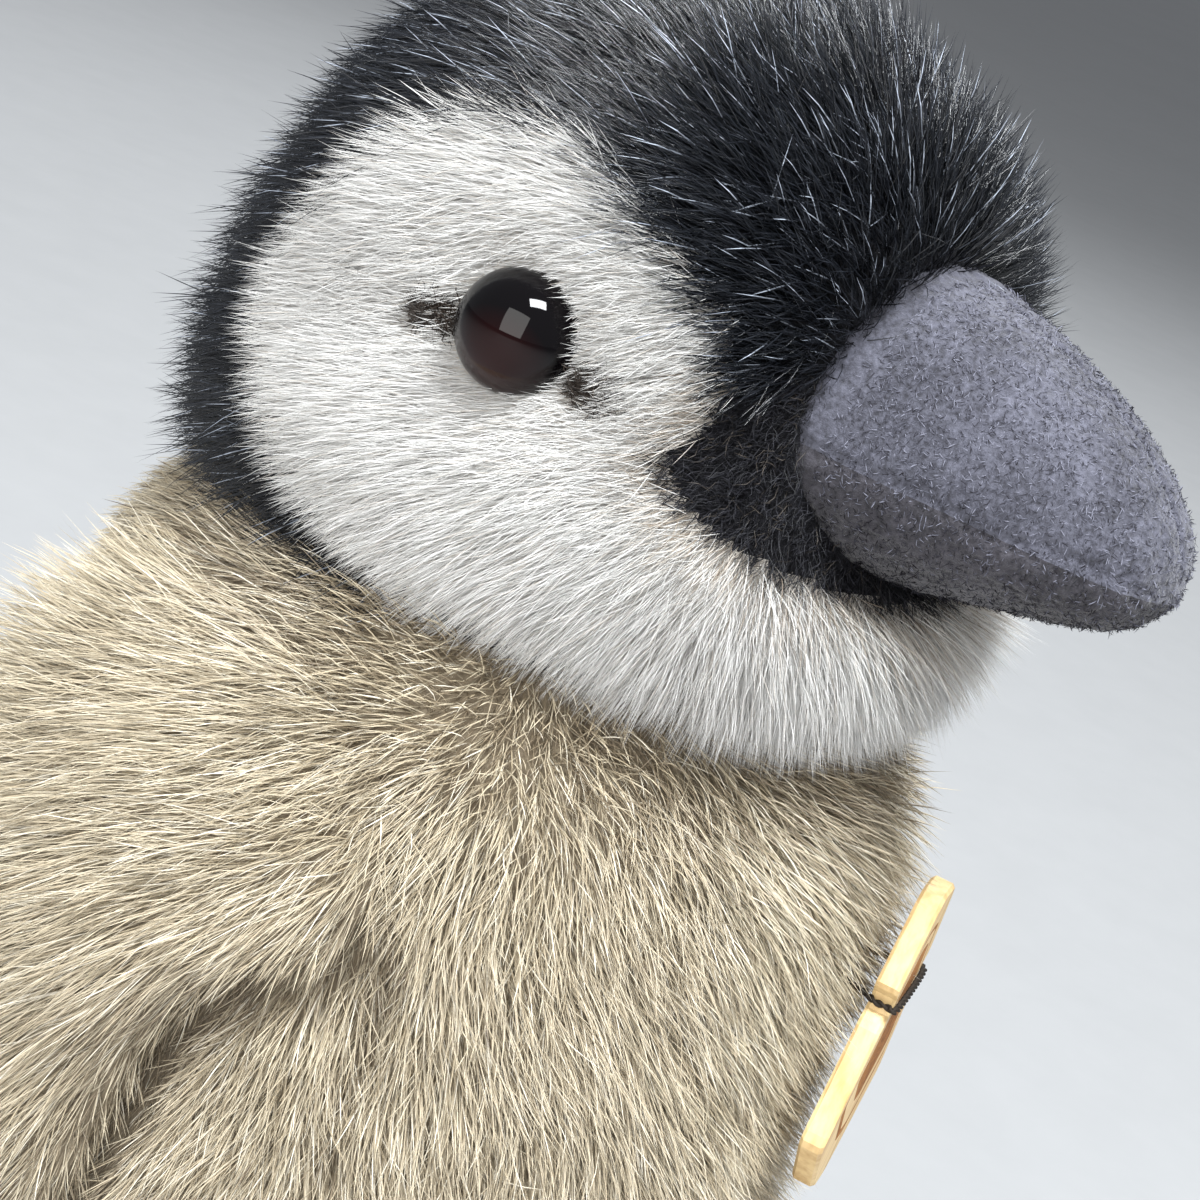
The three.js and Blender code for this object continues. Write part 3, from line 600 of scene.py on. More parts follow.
def ribbons(name, points, normals, hue, materials):
    count, per = points.shape[:2]
    levels = (per - 1) // 2
    start = np.arange(count)[:, None] * per
    quads = [start + 2 * k + np.array([0, 1, 3, 2]) for k in range(levels - 1)]
    tips = start + 2 * (levels - 1) + np.array([0, 1, 2])
    loops = np.concatenate([*(q.ravel() for q in quads), tips.ravel()])
    quad_count = count * (levels - 1)
    starts = np.concatenate([np.arange(quad_count) * 4, quad_count * 4 + np.arange(count) * 3])
    slots = np.concatenate([hue * levels + k for k in range(levels)])
    mesh = bpy.data.meshes.new(name)
    mesh.vertices.add(count * per)
    mesh.vertices.foreach_set("co", metres(points.reshape(-1, 3)).astype(np.float32).ravel())
    mesh.loops.add(len(loops))
    mesh.loops.foreach_set("vertex_index", loops.astype(np.int32))
    mesh.polygons.add(len(starts))
    mesh.polygons.foreach_set("loop_start", starts.astype(np.int32))
    mesh.update(calc_edges=True)
    piece = link(name, mesh, materials)
    mesh.polygons.foreach_set("material_index", slots.astype(np.int32))
    mesh.polygons.foreach_set("use_smooth", np.ones(len(starts), bool))
    custom = mesh.attributes.new("custom_normal", "FLOAT_VECTOR", "POINT")
    custom.data.foreach_set("vector", normals.reshape(-1, 3).astype(np.float32).ravel())
    mesh.update()
    return piece


def pick(count, shares):
    """A hue for each strand, in the given shares."""
    return rng.choice(len(shares), count, p=np.array(shares) / sum(shares))


# ---------- head ----------

BAND, CHEEK, LORE, CAP = range(4)
PANELS = {CHEEK: "cheek", LORE: "lore", CAP: "head_cap"}
PANEL_SKINS = {CHEEK: white_skin, LORE: short_skin, CAP: black_skin}
# Strands per square millimetre on the band, cheek, lore and cap.
HEAD_DENSITY = [6.0, 15.0, 10.0, 8.5]
# The pile parts from a place inside the beak's base.
PARTING = np.array([0.0, -46.0, HEAD_Z + 1])


def head_region(points):
    """Which panel each point of the head belongs to."""
    y, z = points[..., 1], points[..., 2] - HEAD_Z
    region = np.full(np.shape(y), CAP)
    region[inside(CHEEK_OUTLINE, y, z)] = CHEEK
    region[inside(LORE_OUTLINE, y, z)] = LORE
    region[z < BAND_TOP] = BAND
    return region


def on_head(angle, z):
    """A place on the head's surface."""
    return around(angle, head_radius(angle, z), z)


def nearest_of(points, places):
    """How far each point is from the nearest of some places."""
    return np.min([np.linalg.norm(points - place, axis=1) for place in places], axis=0)


def build_head_skins():
    middles = grid_middles(head_grid)
    region = head_region(middles)
    bare = in_beak(middles, 0.92)
    for side_name, side in SIDES:
        half = middles[:, 0] * side > 0
        for code, label in PANELS.items():
            node = f"{label}_{side_name}"
            piece = skin(f"{node}_backing", head_grid, (region == code) & half & ~bare, PANEL_SKINS[code])
            fit(piece, node)
    fit(skin("neck_band_backing", head_grid, region == BAND, short_skin), "neck_band")


def cap_strands(p, n, f, beak_near):
    """The long black pile of the cap, shorter by the beak and behind, fuller low down behind."""
    count = len(p)
    behind = np.clip((p[:, 1] - 5) / 20, 0, 1)
    low = np.clip((HEAD_Z + 14 - p[:, 2]) / 14, 0, 1) * behind
    length = (9.6 + 1.8 * low - 1.4 * behind - 1.6 * beak_near) * rng.uniform(0.62, 1.12, count)
    lift = 42 + 8 * low - 8 * behind + 18 * beak_near + rng.normal(0, 11, count)
    f = f + 0.24 * rng.normal(0, 1, f.shape)
    centre = grow(p, n, f, length, lift, 24, lock=0.30, lock_cell=2.8, ruffle=0.11)
    width = rng.uniform(0.08, 0.15, count)
    # The few strands of the fourth hue are painted glints.
    return centre, width, pick(count, [5, 3, 4, 0.5])


def cheek_strands(p, n, f, eye_gap, stitch_gap, lore_edge):
    """White pile, short round the eye, long at the chin, and stained at the edge of the lore."""
    count = len(p)
    shy = np.clip((np.minimum(eye_gap - 5.5, stitch_gap - 1.0)) / 8, 0, 1)
    chin = np.clip((-p[:, 1] - 24) / 10, 0, 1) * np.clip((HEAD_Z - 9 - p[:, 2]) / 6, 0, 1)
    hem = np.clip((HEAD_Z - 20 - p[:, 2]) / 6, 0, 1)
    length = (3.2 + 4.2 * shy + 2.6 * chin - 2.2 * hem) * rng.uniform(0.72, 1.12, count)
    lift = 46 + 20 * chin + 10 * hem * (1 - chin) + rng.normal(0, 11, count)
    f = f + 0.24 * rng.normal(0, 1, f.shape)
    centre = grow(p, n, f, length, lift, 16, lock=0.14, lock_cell=2.0, ruffle=0.11)
    width = rng.uniform(0.05, 0.085, count)
    hue = pick(count, [5, 5, 1.0, 0])
    stained = rng.random(count) < 0.75 * np.clip(1 - lore_edge / 2.6, 0, 1)
    hue[stained] = np.where(rng.random(stained.sum()) < 0.55, 2, 3)
    return centre, width, hue


def lore_strands(p, n, f):
    """Short curly black pile between the cheek and the beak."""
    count = len(p)
    length = 4.2 * rng.uniform(0.7, 1.15, count)
    lift = 48 + rng.normal(0, 16, count)
    f = f + 0.4 * rng.normal(0, 1, f.shape)
    centre = grow(p, n, f, length, lift, 30, lock=0.5, lock_cell=1.7, ruffle=0.12, curl=0.10)
    width = rng.uniform(0.07, 0.11, count)
    return centre, width, pick(count, [5, 4, 0.6])


def band_strands(p, n, f):
    """Short black pile that hangs over the neck seam."""
    count = len(p)
    length = 3.6 * rng.uniform(0.7, 1.15, count)
    centre = grow(p, n, f - 1.2 * UP, length, 38, 30, lock=0.4, lock_cell=2.0, ruffle=0.08)
    width = rng.uniform(0.08, 0.12, count)
    return centre, width, pick(count, [5, 3, 0.4])


def build_head_pile():
    root, normal = scatter(head_grid, lambda p: np.choose(head_region(p), HEAD_DENSITY))
    wander = noise_vectors(root, 2.5, 60) * 0.7 + rng.normal(0, 0.35, root.shape)
    region = head_region(root + wander)
    eye_gap = nearest_of(root, [on_head(side * EYE_ANGLE, EYE_Z) for _, side in SIDES])
    corners = [side * angle for _, side in SIDES for angle in STITCH_ANGLES]
    stitch_gap = nearest_of(root, [on_head(angle, STITCH_Z) for angle in corners])
    clear_of_thread = (stitch_gap > 2.0) | (rng.random(len(root)) < 0.06)
    keep = ~in_beak(root, 0.97) & (eye_gap > EYE_RADIUS - 0.6) & clear_of_thread
    root, normal, region = root[keep], normal[keep], region[keep]
    eye_gap, stitch_gap = eye_gap[keep], stitch_gap[keep]
    flow = unit(root - PARTING) + (0, 0, -0.35)
    flow += 0.28 * noise_vectors(root, 14.0, 80)
    lore_edge = edge_distance(LORE_OUTLINE, root[:, 1], root[:, 2] - HEAD_Z)
    beak_near = np.clip(1 - (np.linalg.norm(root - (0, -37, HEAD_Z + 2), axis=1) - 16) / 12, 0, 1)

    for code, label, materials, strands, extra in (
        (CAP, "head_cap", BLACK, cap_strands, (beak_near,)),
        (CHEEK, "cheek", WHITE, cheek_strands, (eye_gap, stitch_gap, lore_edge)),
        (LORE, "lore", SHORT_BLACK, lore_strands, ()),
        (BAND, "neck", SHORT_BLACK, band_strands, ()),
    ):
        mine = region == code
        p, n = root[mine], normal[mine]
        centre, width, hue = strands(p, n, flow[mine], *(e[mine] for e in extra))
        for side_name, side in SIDES:
            half = p[:, 0] * side > 0
            name = f"{label}_pile_{side_name}"
            for piece in fur(name, centre[half], n[half], width[half], hue[half], materials):
                fit(piece)


# ---------- body ----------


BODY_PILE = 8.9
# Shares of the beige hues. The last hue is painted shadow, for creases, seams and under the head.
BEIGE_SHARES = [5, 4, 3, 1.5, 0.04, 0]
SHADOW_HUE = 5


def body_panels(points):
    """Each body panel's name, and which points lie on it."""
    front = np.abs(angle_of(points)) < FRONT_SEAM
    left = points[:, 0] > 0
    return {"body_front": front, "body_back_left": ~front & left, "body_back_right": ~front & ~left}


def build_body():
    for name, keep in body_panels(grid_middles(body_grid)).items():
        fit(skin(f"{name}_backing", body_grid, keep, beige_skin), name)

    root, normal = scatter(body_grid, lambda p: np.where(p[:, 2] > 88, 5.2, 3.2))
    keep = root[:, 2] > 2.5
    root, normal = root[keep], normal[keep]
    angle, z = np.abs(angle_of(root)), root[:, 2]
    count = len(root)
    seam = np.exp(-(((angle - FRONT_SEAM) / 2.0) ** 2)) * np.clip((138 - z) / 4, 0, 1)
    seam *= 0.4 + 0.6 * np.clip((z - 112) / 20, 0, 1)
    covered = under_flipper(angle, z)
    crease = np.clip(1.35 - flipper_gap(root) / 3.6, 0, 1)
    neck = np.clip((z - 147) / 8, 0, 1)
    rear = np.clip((angle - 95) / 30, 0, 1)
    length = BODY_PILE * rng.uniform(0.6, 1.15, count) * (1 - 0.5 * seam)
    length = length * (1 - 0.72 * covered) * (1 - 0.68 * crease)
    rear *= np.clip((z - 100) / 25, 0, 1)
    length *= (1 - 0.25 * neck) * (1 - 0.4 * rear) * (1 - 0.3 * behind_tag(root))
    lift = (66 - 26 * rear + rng.normal(0, 13, count)) * (1 - 0.35 * seam)
    lift = lift * (1 - 0.85 * covered) * (1 - 0.45 * crease)
    low = np.clip((14 - z) / 12, 0, 1)
    length = length * (1 - 0.45 * low)
    flow = pile_flow(root, low, 128)
    centre = grow(root, normal, flow, length, lift, 28, lock=0.15, lock_cell=2.2, ruffle=0.16, floor=0.5)
    width = rng.uniform(0.09, 0.16, count)
    hue = pick(count, BEIGE_SHARES)
    # Painted shadow: strands in the flipper's crease, by the front seam and under the head take the shadow
    # hue.
    dark = rng.random(count) < 0.75 * np.maximum(crease, 0.8 * seam) + 0.5 * neck * (1 - 0.6 * rear)
    hue[dark] = SHADOW_HUE
    for name, mine in body_panels(root).items():
        for piece in fur(f"{name}_pile", centre[mine], normal[mine], width[mine], hue[mine], BEIGE):
            fit(piece)


def behind_tag(root):
    """1 where the tag's lower half lies over the pile, fading to 0 at its edge."""
    away = root - around(TAG_ANGLE, TAG_RADIUS, TAG_WAIST_Z)
    a = math.radians(TAG_ANGLE)
    across = np.abs(away @ (math.cos(a), math.sin(a), 0)) / 14
    reach = np.maximum(across, np.abs(away[:, 2] + 16) / 11)
    return np.clip((1 - reach) * 5, 0, 1) * (np.abs(angle_of(root)) < 70)


def pile_flow(root, outward, swept_above):
    """Down the front and back towards the rear at the shoulders, wandering from place to place."""
    flow = np.tile((0.0, 0.0, -1.0), (len(root), 1))
    angle = angle_of(root)
    side = np.sign(angle)
    rearward = np.stack([side * np.cos(np.radians(angle)), side * np.sin(np.radians(angle)), 0 * angle], 1)
    sweep = np.clip((np.abs(angle) - 40) / 36, 0, 1) * np.clip((165 - np.abs(angle)) / 40, 0, 1)
    sweep *= np.clip((root[:, 2] - swept_above) / 20, 0, 1)
    flow += rearward * (0.85 * sweep)[:, None]
    flow += 0.26 * noise_vectors(root, 26.0, 90) + 0.22 * noise_vectors(root, 7.0, 95)
    flow += 0.26 * rng.normal(0, 1, root.shape)
    return flow + unit(root * (1, 1, 0)) * np.asarray(outward, float).reshape(-1, 1)


# ---------- flippers ----------

station_curve = even_rows(catmull(FLIPPER_STATIONS, 400), 300)


def flipper_edge(z):
    """The angle of the flipper's front edge at each height."""
    known = station_curve[::-1]
    return np.interp(z, known[:, 0], known[:, 1] - known[:, 2])


def flipper_gap(root):
    """How far each point is from the line where a flipper's front edge meets the body."""
    z = np.linspace(FLIPPER_TIP_Z, 135.5, 160)
    across = math.radians(1) * 44
    line = np.stack([flipper_edge(z) * across, z], 1)
    flat = np.stack([np.abs(angle_of(root)) * across, root[:, 2]], 1)
    parts = np.array_split(flat, 200)
    return np.concatenate([np.linalg.norm(part[:, None] - line, axis=2).min(1) for part in parts])


def under_flipper(angle, z):
    """1 where a flipper lies over the body, fading to 0 at its edge."""
    order = np.argsort(station_curve[:, 0])
    z_known = station_curve[order, 0]
    middle = np.interp(z, z_known, station_curve[order, 1])
    half = np.interp(z, z_known, station_curve[order, 2])
    within = np.clip((half - np.abs(angle - middle)) / 5, 0, 1)
    return within * np.clip((150 - z) / 6, 0, 1) * np.clip((z - FLIPPER_TIP_Z) / 6, 0, 1)


def flipper_grid(side, rows=90, columns=72):
    """The flipper's surface from shoulder to tip, and back along its inner face."""
    station = even_rows(catmull(FLIPPER_STATIONS, 400), rows)
    t = np.linspace(0, 1, rows)
    z, thick = station[:, 0], np.maximum(station[:, 3], 0)
    radius = body_radius(z) + FLIPPER_CLEARANCE + thick / 2 - np.clip((z - 138) / 14, 0, 1) * 1.6
    turn = np.radians(np.linspace(0, 360, columns, endpoint=False))[None, :]
    closing = np.minimum(1, (1 - t) * 12) ** 0.5
    across = station[:, 2:3] * np.cos(turn) * closing[:, None]
    out = thick[:, None] / 2 * np.sign(np.sin(turn)) * np.abs(np.sin(turn)) ** 0.7 * closing[:, None]
    grid = around(side * (station[:, 1:2] + across), radius[:, None] + out, z[:, None])
    return grid[:, ::-1] if side < 0 else grid


def bend_with_flipper(piece):
    """Takes the piece off its parent and bakes its placement into its points."""
    piece.parent = None
    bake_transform(piece)


def build_flippers():
    for side_name, side in SIDES:
        grid = flipper_grid(side)
        middles = grid_middles(grid)
        reach = np.hypot(middles[:, 0], middles[:, 1]) - body_radius(middles[:, 2])
        known = station_curve[::-1]
        halfway = np.interp(middles[:, 2], known[:, 0], known[:, 3]) / 2
        outer = reach > FLIPPER_CLEARANCE + halfway
        for label, keep in (("outer", outer), ("inner", ~outer)):
            piece = skin(f"flipper_{side_name}_{label}_backing", grid, keep, beige_skin)
            bend_with_flipper(piece)
            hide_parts(f"flipper_{side_name}_{label}")
        root, normal = scatter(grid, 4.6)
        facing = (normal * unit(root * (1, 1, 0))).sum(1)
        keep = (facing > -0.2) | (root[:, 2] < 136)
        root, normal, facing = root[keep], normal[keep], facing[keep]
        count = len(root)
        open_side = np.clip(facing * 1.8 + 0.75, 0, 1)
        edge = np.clip(1.2 - flipper_gap(root) / 3.0, 0, 1)
        length = (2.4 + 6.4 * open_side) * rng.uniform(0.65, 1.15, count) * (1 - 0.45 * edge)
        lift = 6 + 54 * open_side + rng.normal(0, 12, count) - 18 * edge
        flow = pile_flow(root, 0.0, 106)
        centre = grow(root, normal, flow, length, lift, 28, lock=0.15, lock_cell=2.2, ruffle=0.15)
        width = rng.uniform(0.085, 0.145, count)
        hue = pick(count, BEIGE_SHARES)
        # Painted shadow along the front edge, where the flipper meets the body.
        hue[rng.random(count) < 0.45 * edge] = SHADOW_HUE
        for piece in fur(f"flipper_{side_name}_pile", centre, normal, width, hue, BEIGE):
            bend_with_flipper(piece)


# ---------- tail ----------

TAIL_ROOT = np.array((0.0, 32.0, 34.0))
TAIL_TIP = np.array((0.0, 62.0, 9.0))
TAIL_WIDTH = 30
TAIL_THICKNESS = 8


def build_tail():
    along = unit(TAIL_TIP - TAIL_ROOT)
    up = -np.cross((1.0, 0.0, 0.0), along)
    if up[2] < 0:
        up = -up
    row = np.linspace(0.02, 0.999, 50)[:, None]
    turn = np.radians(np.linspace(0, 360, 60, endpoint=False))[None, :]
    reach = np.linalg.norm(TAIL_TIP - TAIL_ROOT) * (1 - (1 - row) ** 1.6)
    narrow = (1 - row) ** 0.45
    half = TAIL_WIDTH / 2 * narrow * np.cos(turn)
    thick = TAIL_THICKNESS / 2 * narrow * np.sin(turn)
    sideways = np.array((1.0, 0, 0))
    grid = TAIL_ROOT + along * reach[..., None] + up * thick[..., None] + sideways * half[..., None]
    middles = grid_middles(grid)
    upper = ((middles - TAIL_ROOT) * up).sum(1) > 0
    for label, keep in (("upper", upper), ("lower", ~upper)):
        piece = skin(f"tail_{label}_backing", grid, keep, beige_skin)
        fit(piece, f"tail_{label}")
    root, normal = scatter(grid, 3.4)
    outward = unit(root - TAIL_ROOT - along * ((root - TAIL_ROOT) * along).sum(1, keepdims=True))
    normal = np.where((normal * outward).sum(1, keepdims=True) < 0, -normal, normal)
    outside = np.hypot(root[:, 0], root[:, 1]) > body_radius(root[:, 2]) - 1
    root, normal = root[outside], normal[outside]
    count = len(root)
    flow = np.tile(along + (0, 0, -0.1), (count, 1)) + 0.25 * noise_vectors(root, 12.0, 130)
    length = 7.5 * rng.uniform(0.7, 1.15, count)
    lift = 26 + rng.normal(0, 8, count)
    centre = grow(root, normal, flow, length, lift, 16, lock=0.3, ruffle=0.09, floor=1.0)
    hue = pick(count, [5, 4, 3, 1.6, 0.08, 0])
    for piece in fur("tail_pile", centre, normal, rng.uniform(0.08, 0.13, count), hue, BEIGE):
        fit(piece)


# ---------- beak ----------


def beak_grid(rows=200, columns=320):
    t = np.linspace(0.0, 1.0, rows) ** 1.35
    ridge, keel, gape = (even_rows(catmull(c, 400), 401) for c in (BEAK_RIDGE, BEAK_KEEL, BEAK_GAPE))
    at = t * 400
    ridge, keel, gape = (
        np.stack([np.interp(at, np.arange(401), c[:, k]) for k in (0, 1)], 1) for c in (ridge, keel, gape)
    )
    turn = np.radians(np.linspace(0, 360, columns, endpoint=False))[None, :]
    sine, cosine = np.sin(turn), np.cos(turn)
    top = sine > 0
    y_end = np.where(top, ridge[:, :1], keel[:, :1])
    z_end = np.where(top, ridge[:, 1:], keel[:, 1:])
    mouth = (MOUTH_Z + MOUTH_Z * (1 - t))[:, None]
    rise = np.abs(sine) ** 0.94
    spread = np.sign(cosine) * np.abs(cosine) ** 0.94
    x = gape[:, 1:] * spread
    y = gape[:, :1] + (y_end - gape[:, :1]) * rise
    z = HEAD_Z + mouth + (z_end - mouth) * rise
    grid = np.stack(np.broadcast_arrays(x, y, z), -1)
    return grid, t


def grid_normals(grid):
    """Outward normals of a wrapped grid about its own middle line."""
    across = np.roll(grid, -1, 1) - np.roll(grid, 1, 1)
    along = np.gradient(grid, axis=0)
    normal = unit(np.cross(across, along))
    middle = grid.mean(1, keepdims=True)
    outward = ((grid - middle) * normal).sum(-1, keepdims=True)
    return np.where(outward.mean() < 0, -normal, normal)


def build_beak():
    grid, t = beak_grid()
    normal = grid_normals(grid)
    normal[0] = (0, -1, 0)
    on_top = grid[..., 2] > HEAD_Z
    groove = 0.55 * np.exp(-((grid[..., 0] / 0.55) ** 2)) * on_top * np.clip(t[:, None] * 9, 0, 1)
    mouth = HEAD_Z + (MOUTH_Z + MOUTH_Z * (1 - t))[:, None]
    off_mouth = grid[..., 2] - mouth
    wander = 0.9 * (lattice_noise(grid, 5.0, 205) - 0.5)
    crease = 0.34 * np.exp(-(((off_mouth + wander) / 0.75) ** 2)) * np.clip(t[:, None] * 14 - 0.6, 0, 1)
    stitch = 0.5 + 0.5 * np.cos(2 * np.pi * grid[..., 1] / 2.1)
    holes = 0.40 * np.exp(-(((off_mouth + 0.5) / 0.42) ** 2)) * np.clip(stitch * 3 - 1.9, 0, 1)
    nap = 0.10 * lattice_noise(grid, 0.55, 200) + 0.16 * lattice_noise(grid, 1.3, 210)
    nap = nap + 0.22 * lattice_noise(grid, 6.5, 220)
    lift = nap - groove - crease - holes
    grid = grid + normal * lift[..., None]
    middles = grid_middles(grid)
    row_mouth = np.repeat((mouth[:-1, 0] + mouth[1:, 0]) / 2, grid.shape[1])
    upper = middles[:, 2] > row_mouth
    for name, keep in (
        ("beak_upper_left", upper & (middles[:, 0] > 0)),
        ("beak_upper_right", upper & (middles[:, 0] <= 0)),
        ("beak_lower", ~upper),
    ):
        piece = skin(f"{name}_cloth", grid, keep, beak_painted_shade if name == "beak_lower" else beak_suede)
        fit(piece, name)
    nap_of("beak_nap", grid, 10.0, SUEDE_NAP, out_of_face, beak_underside_shade)


def out_of_face(points):
    """Whether each point of the beak stands clear of the face."""
    return points[:, 1] < -34


def beak_underside_shade(points):
    """How much painted shade the beak's nap takes: from 0 on top of the beak to 1 well under it."""
    return np.clip((HEAD_Z + 1 - points[:, 2]) / 10, 0, 1)


def nap_of(name, grid, density, materials, keep, painted_shade=None):
    """Short brushed fibres that stand over a suede surface; where painted_shade is given, strands take darker
    hues as painted shade.
    """
    root, face = scatter(grid, density)
    middle = grid.mean((0, 1))
    face = np.where(((root - middle) * face).sum(1, keepdims=True) < 0, -face, face)
    chosen = keep(root)
    root, face = root[chosen], face[chosen]
    count = len(root)
    flow = rng.normal(0, 1, (count, 3))
    length = rng.uniform(0.4, 1.0, count)
    lift = 38 + rng.normal(0, 16, count)
    centre = grow(root - face * 0.1, face, flow, length, lift, 45, lock=0.3, lock_cell=0.9, floor=0.05)
    hue = pick(count, [4, 3, 3])
    if painted_shade is not None:
        # Painted shade: strands under the beak take the two darkest hues.
        under = rng.random(count) < painted_shade(root)
        hue[under] = np.where(rng.random(under.sum()) < 0.5, 2, 3)
    for piece in fur(name, centre, face, rng.uniform(0.06, 0.11, count), hue, materials):
        fit(piece)


# ---------- eyes ----------


def eye_frame(angle, z):
    """A place on the head's side, and its outward and sideways directions."""
    outward = around(angle, 1.0, 0.0)
    return on_head(angle, z), outward, np.cross(UP, outward)


def build_eyes():
    for side_name, side in SIDES:
        place, outward, sideways = eye_frame(side * EYE_ANGLE, EYE_Z)
        tilt = np.radians(np.linspace(0, 90, 26))
        rim = [(EYE_RADIUS - 0.9, -1.2), (EYE_RADIUS - 0.15, -0.9), (EYE_RADIUS, -0.4)]
        profile = np.array([*rim, *zip(EYE_RADIUS * np.cos(tilt), EYE_DOME * np.sin(tilt))])
        turn = np.radians(np.linspace(0, 360, 64, endpoint=False))[None, :, None]
        r, out = profile[:, 0][:, None, None], profile[:, 1][:, None, None] + 0.3
        grid = place + outward * out + r * (sideways * np.cos(turn) + UP * np.sin(turn))
        gloss = eye_material(f"eye_gloss_{side_name}", metres(place), outward)
        piece = skin(f"eye_{side_name}_dome", grid, np.ones(len(grid_middles(grid)), bool), gloss)
        fit(piece, f"eye_{side_name}")
        for end, stitch_angle in zip(("front", "rear"), STITCH_ANGLES):
            build_stitch(f"eye_stitch_{end}_{side_name}", side * stitch_angle)


def build_stitch(node, angle):
    """A tuft of dark thread sewn in the corner of the eye."""
    place, outward, sideways = eye_frame(angle, STITCH_Z)
    count = 900
    spread = rng.normal(0, 1, (count, 2)) * (0.80, 0.60)
    root = place + sideways * spread[:, :1] + UP * spread[:, 1:]
    normal = np.tile(outward, (count, 1))
    flow = sideways * rng.normal(0, 1, (count, 1)) + UP * rng.normal(0, 0.5, (count, 1))
    length = rng.uniform(1.8, 3.4, count)
    lift = 66 + rng.normal(0, 18, count)
    centre = grow(root, normal, flow, length, lift, 80, lock=0.3, lock_cell=1.2, curl=0.14)
    width = rng.uniform(0.10, 0.17, count)
    piece = fur(f"{node}_tuft", centre, normal, width, pick(count, [3, 2]), THREAD)[0]
    fit(piece, node)


# ---------- feet ----------

FOOT_ANGLE = 14
FOOT_PLACE = (17, -41)
FOOT_LENGTH = 36
FOOT_HEEL = 10
FOOT_TOES = 15.5
FOOT_HEIGHT = 9
SOLE = 1.2
FOOT_COLUMNS = 240


def foot_ring(columns):
    """How far the foot reaches in each direction from its middle: a round heel and three toes."""
    turn = np.linspace(0, 2 * np.pi, columns, endpoint=False)
    circles = [(0, FOOT_LENGTH / 2 - FOOT_HEEL, FOOT_HEEL)]
    toe = FOOT_TOES / 3
    line = -FOOT_LENGTH / 2 + toe
    circles += [(x, line - (0.6 if x == 0 else 0), toe) for x in (-2 * toe, 0, 2 * toe)]
    direction = np.stack([np.sin(turn), -np.cos(turn)], 1)
    reach = np.zeros(columns)
    for x, y, r in circles:
        b = direction @ np.array((x, y))
        within = b**2 - (x**2 + y**2 - r**2)
        reach = np.maximum(reach, np.where(within > 0, b + np.sqrt(np.maximum(within, 0)), 0))
    side_wall = np.interp(-direction[:, 1] * 12, [-12, 12], [FOOT_HEEL, FOOT_TOES - 0.5])
    across = np.abs(direction[:, 0])
    flank = np.where(across > 0.25, side_wall / np.maximum(across, 1e-6), 0)
    reach = np.maximum(reach, np.minimum(flank, FOOT_TOES))
    for _ in range(2):
        reach = (np.roll(reach, 1) + 2 * reach + np.roll(reach, -1)) / 4
    return direction, reach


def foot_surfaces():
    """The foot's upper, crowned with folds between the toes, and its sole with the edge wall."""
    direction, reach = foot_ring(FOOT_COLUMNS)
    k = np.linspace(0, 1, 70)[1:]
    flat = direction[None] * (reach[None, :, None] * k[:, None, None])
    crown = ((1 - k**6) ** 0.52)[:, None]
    toeward = np.clip((-flat[..., 1] - 2) / 12, 0, 1)
    folds = sum(np.exp(-(((flat[..., 0] - x * (0.6 + 0.4 * toeward)) / 1.1) ** 2)) for x in (-5.2, 5.2))
    height = SOLE + (FOOT_HEIGHT - SOLE) * crown * (1 - 0.08 * toeward) - 0.75 * folds * toeward * crown
    upper = np.concatenate([flat, height[..., None]], -1)
    under = np.concatenate([flat[::-1], np.full((*flat.shape[:2], 1), 0.15)], -1)
    under[:3, :, :2] *= 0.985
    wall = np.concatenate([flat[-1:], np.full((1, FOOT_COLUMNS, 1), 0.6)], -1)
    return upper, np.concatenate([wall, under])


def closed_mesh(name, grid, first, material):
    """A wrapped grid whose ring of points that starts at first is closed by a fan."""
    points = grid.reshape(-1, 3)
    columns = grid.shape[1]
    points = np.concatenate([points, points[first : first + columns].mean(0, keepdims=True)])
    fan = [(first + i, first + (i + 1) % columns, len(points) - 1) for i in range(columns)]
    return mesh_from(name, points, [*grid_faces(*grid.shape[:2], True).tolist(), *fan], [material])


def clear_of_body(points):
    """Whether each point of the foot lies outside the body."""
    return np.hypot(points[:, 0], points[:, 1]) > 36


def build_feet():
    upper, sole = foot_surfaces()
    for side_name, side in SIDES:
        c, s = math.cos(math.radians(FOOT_ANGLE * side)), math.sin(math.radians(FOOT_ANGLE * side))
        spin = np.array([[c, -s, 0], [s, c, 0], [0, 0, 1]])
        offset = np.array((side * FOOT_PLACE[0], FOOT_PLACE[1], 0))
        top = upper @ spin.T + offset
        bottom = sole @ spin.T + offset
        rough = 0.10 * lattice_noise(top, 0.6, 240) + 0.15 * lattice_noise(top, 1.6, 250)
        last_ring = bottom.shape[0] * FOOT_COLUMNS - FOOT_COLUMNS
        for label, grid, first in (("upper", top + UP * rough[..., None], 0), ("sole", bottom, last_ring)):
            piece = closed_mesh(f"foot_{side_name}_{label}_cloth", grid, first, foot_suede)
            fit(piece, f"foot_{side_name}_{label}")
        nap_of(f"foot_{side_name}_nap", top, 9.0, FOOT_NAP, clear_of_body)


# ---------- tag and cord ----------

TAG_ANGLE = 17
TAG_RADIUS = 51.9
TAG_THICKNESS = 2.6
TAG_WAIST_Z = 134.7
TAG_BEVEL = 0.35
# How far the bottom of each notch is from the tag's middle.
NOTCH_DEPTH = 6.7
PLY_RADIUS = 0.22
PLY_OFFSET = 0.19


def tag_place(x, out, z):
    """Points given along the tag, outwards from its middle plane and above its waist."""
    a = math.radians(TAG_ANGLE)
    centre = around(TAG_ANGLE, TAG_RADIUS, TAG_WAIST_Z)
    along = np.array((math.cos(a), math.sin(a), 0))
    outward = np.array((math.sin(a), -math.cos(a), 0))
    x, out, z = (np.asarray(v, float)[..., None] for v in (x, out, z))
    return centre + along * x + outward * out + UP * z


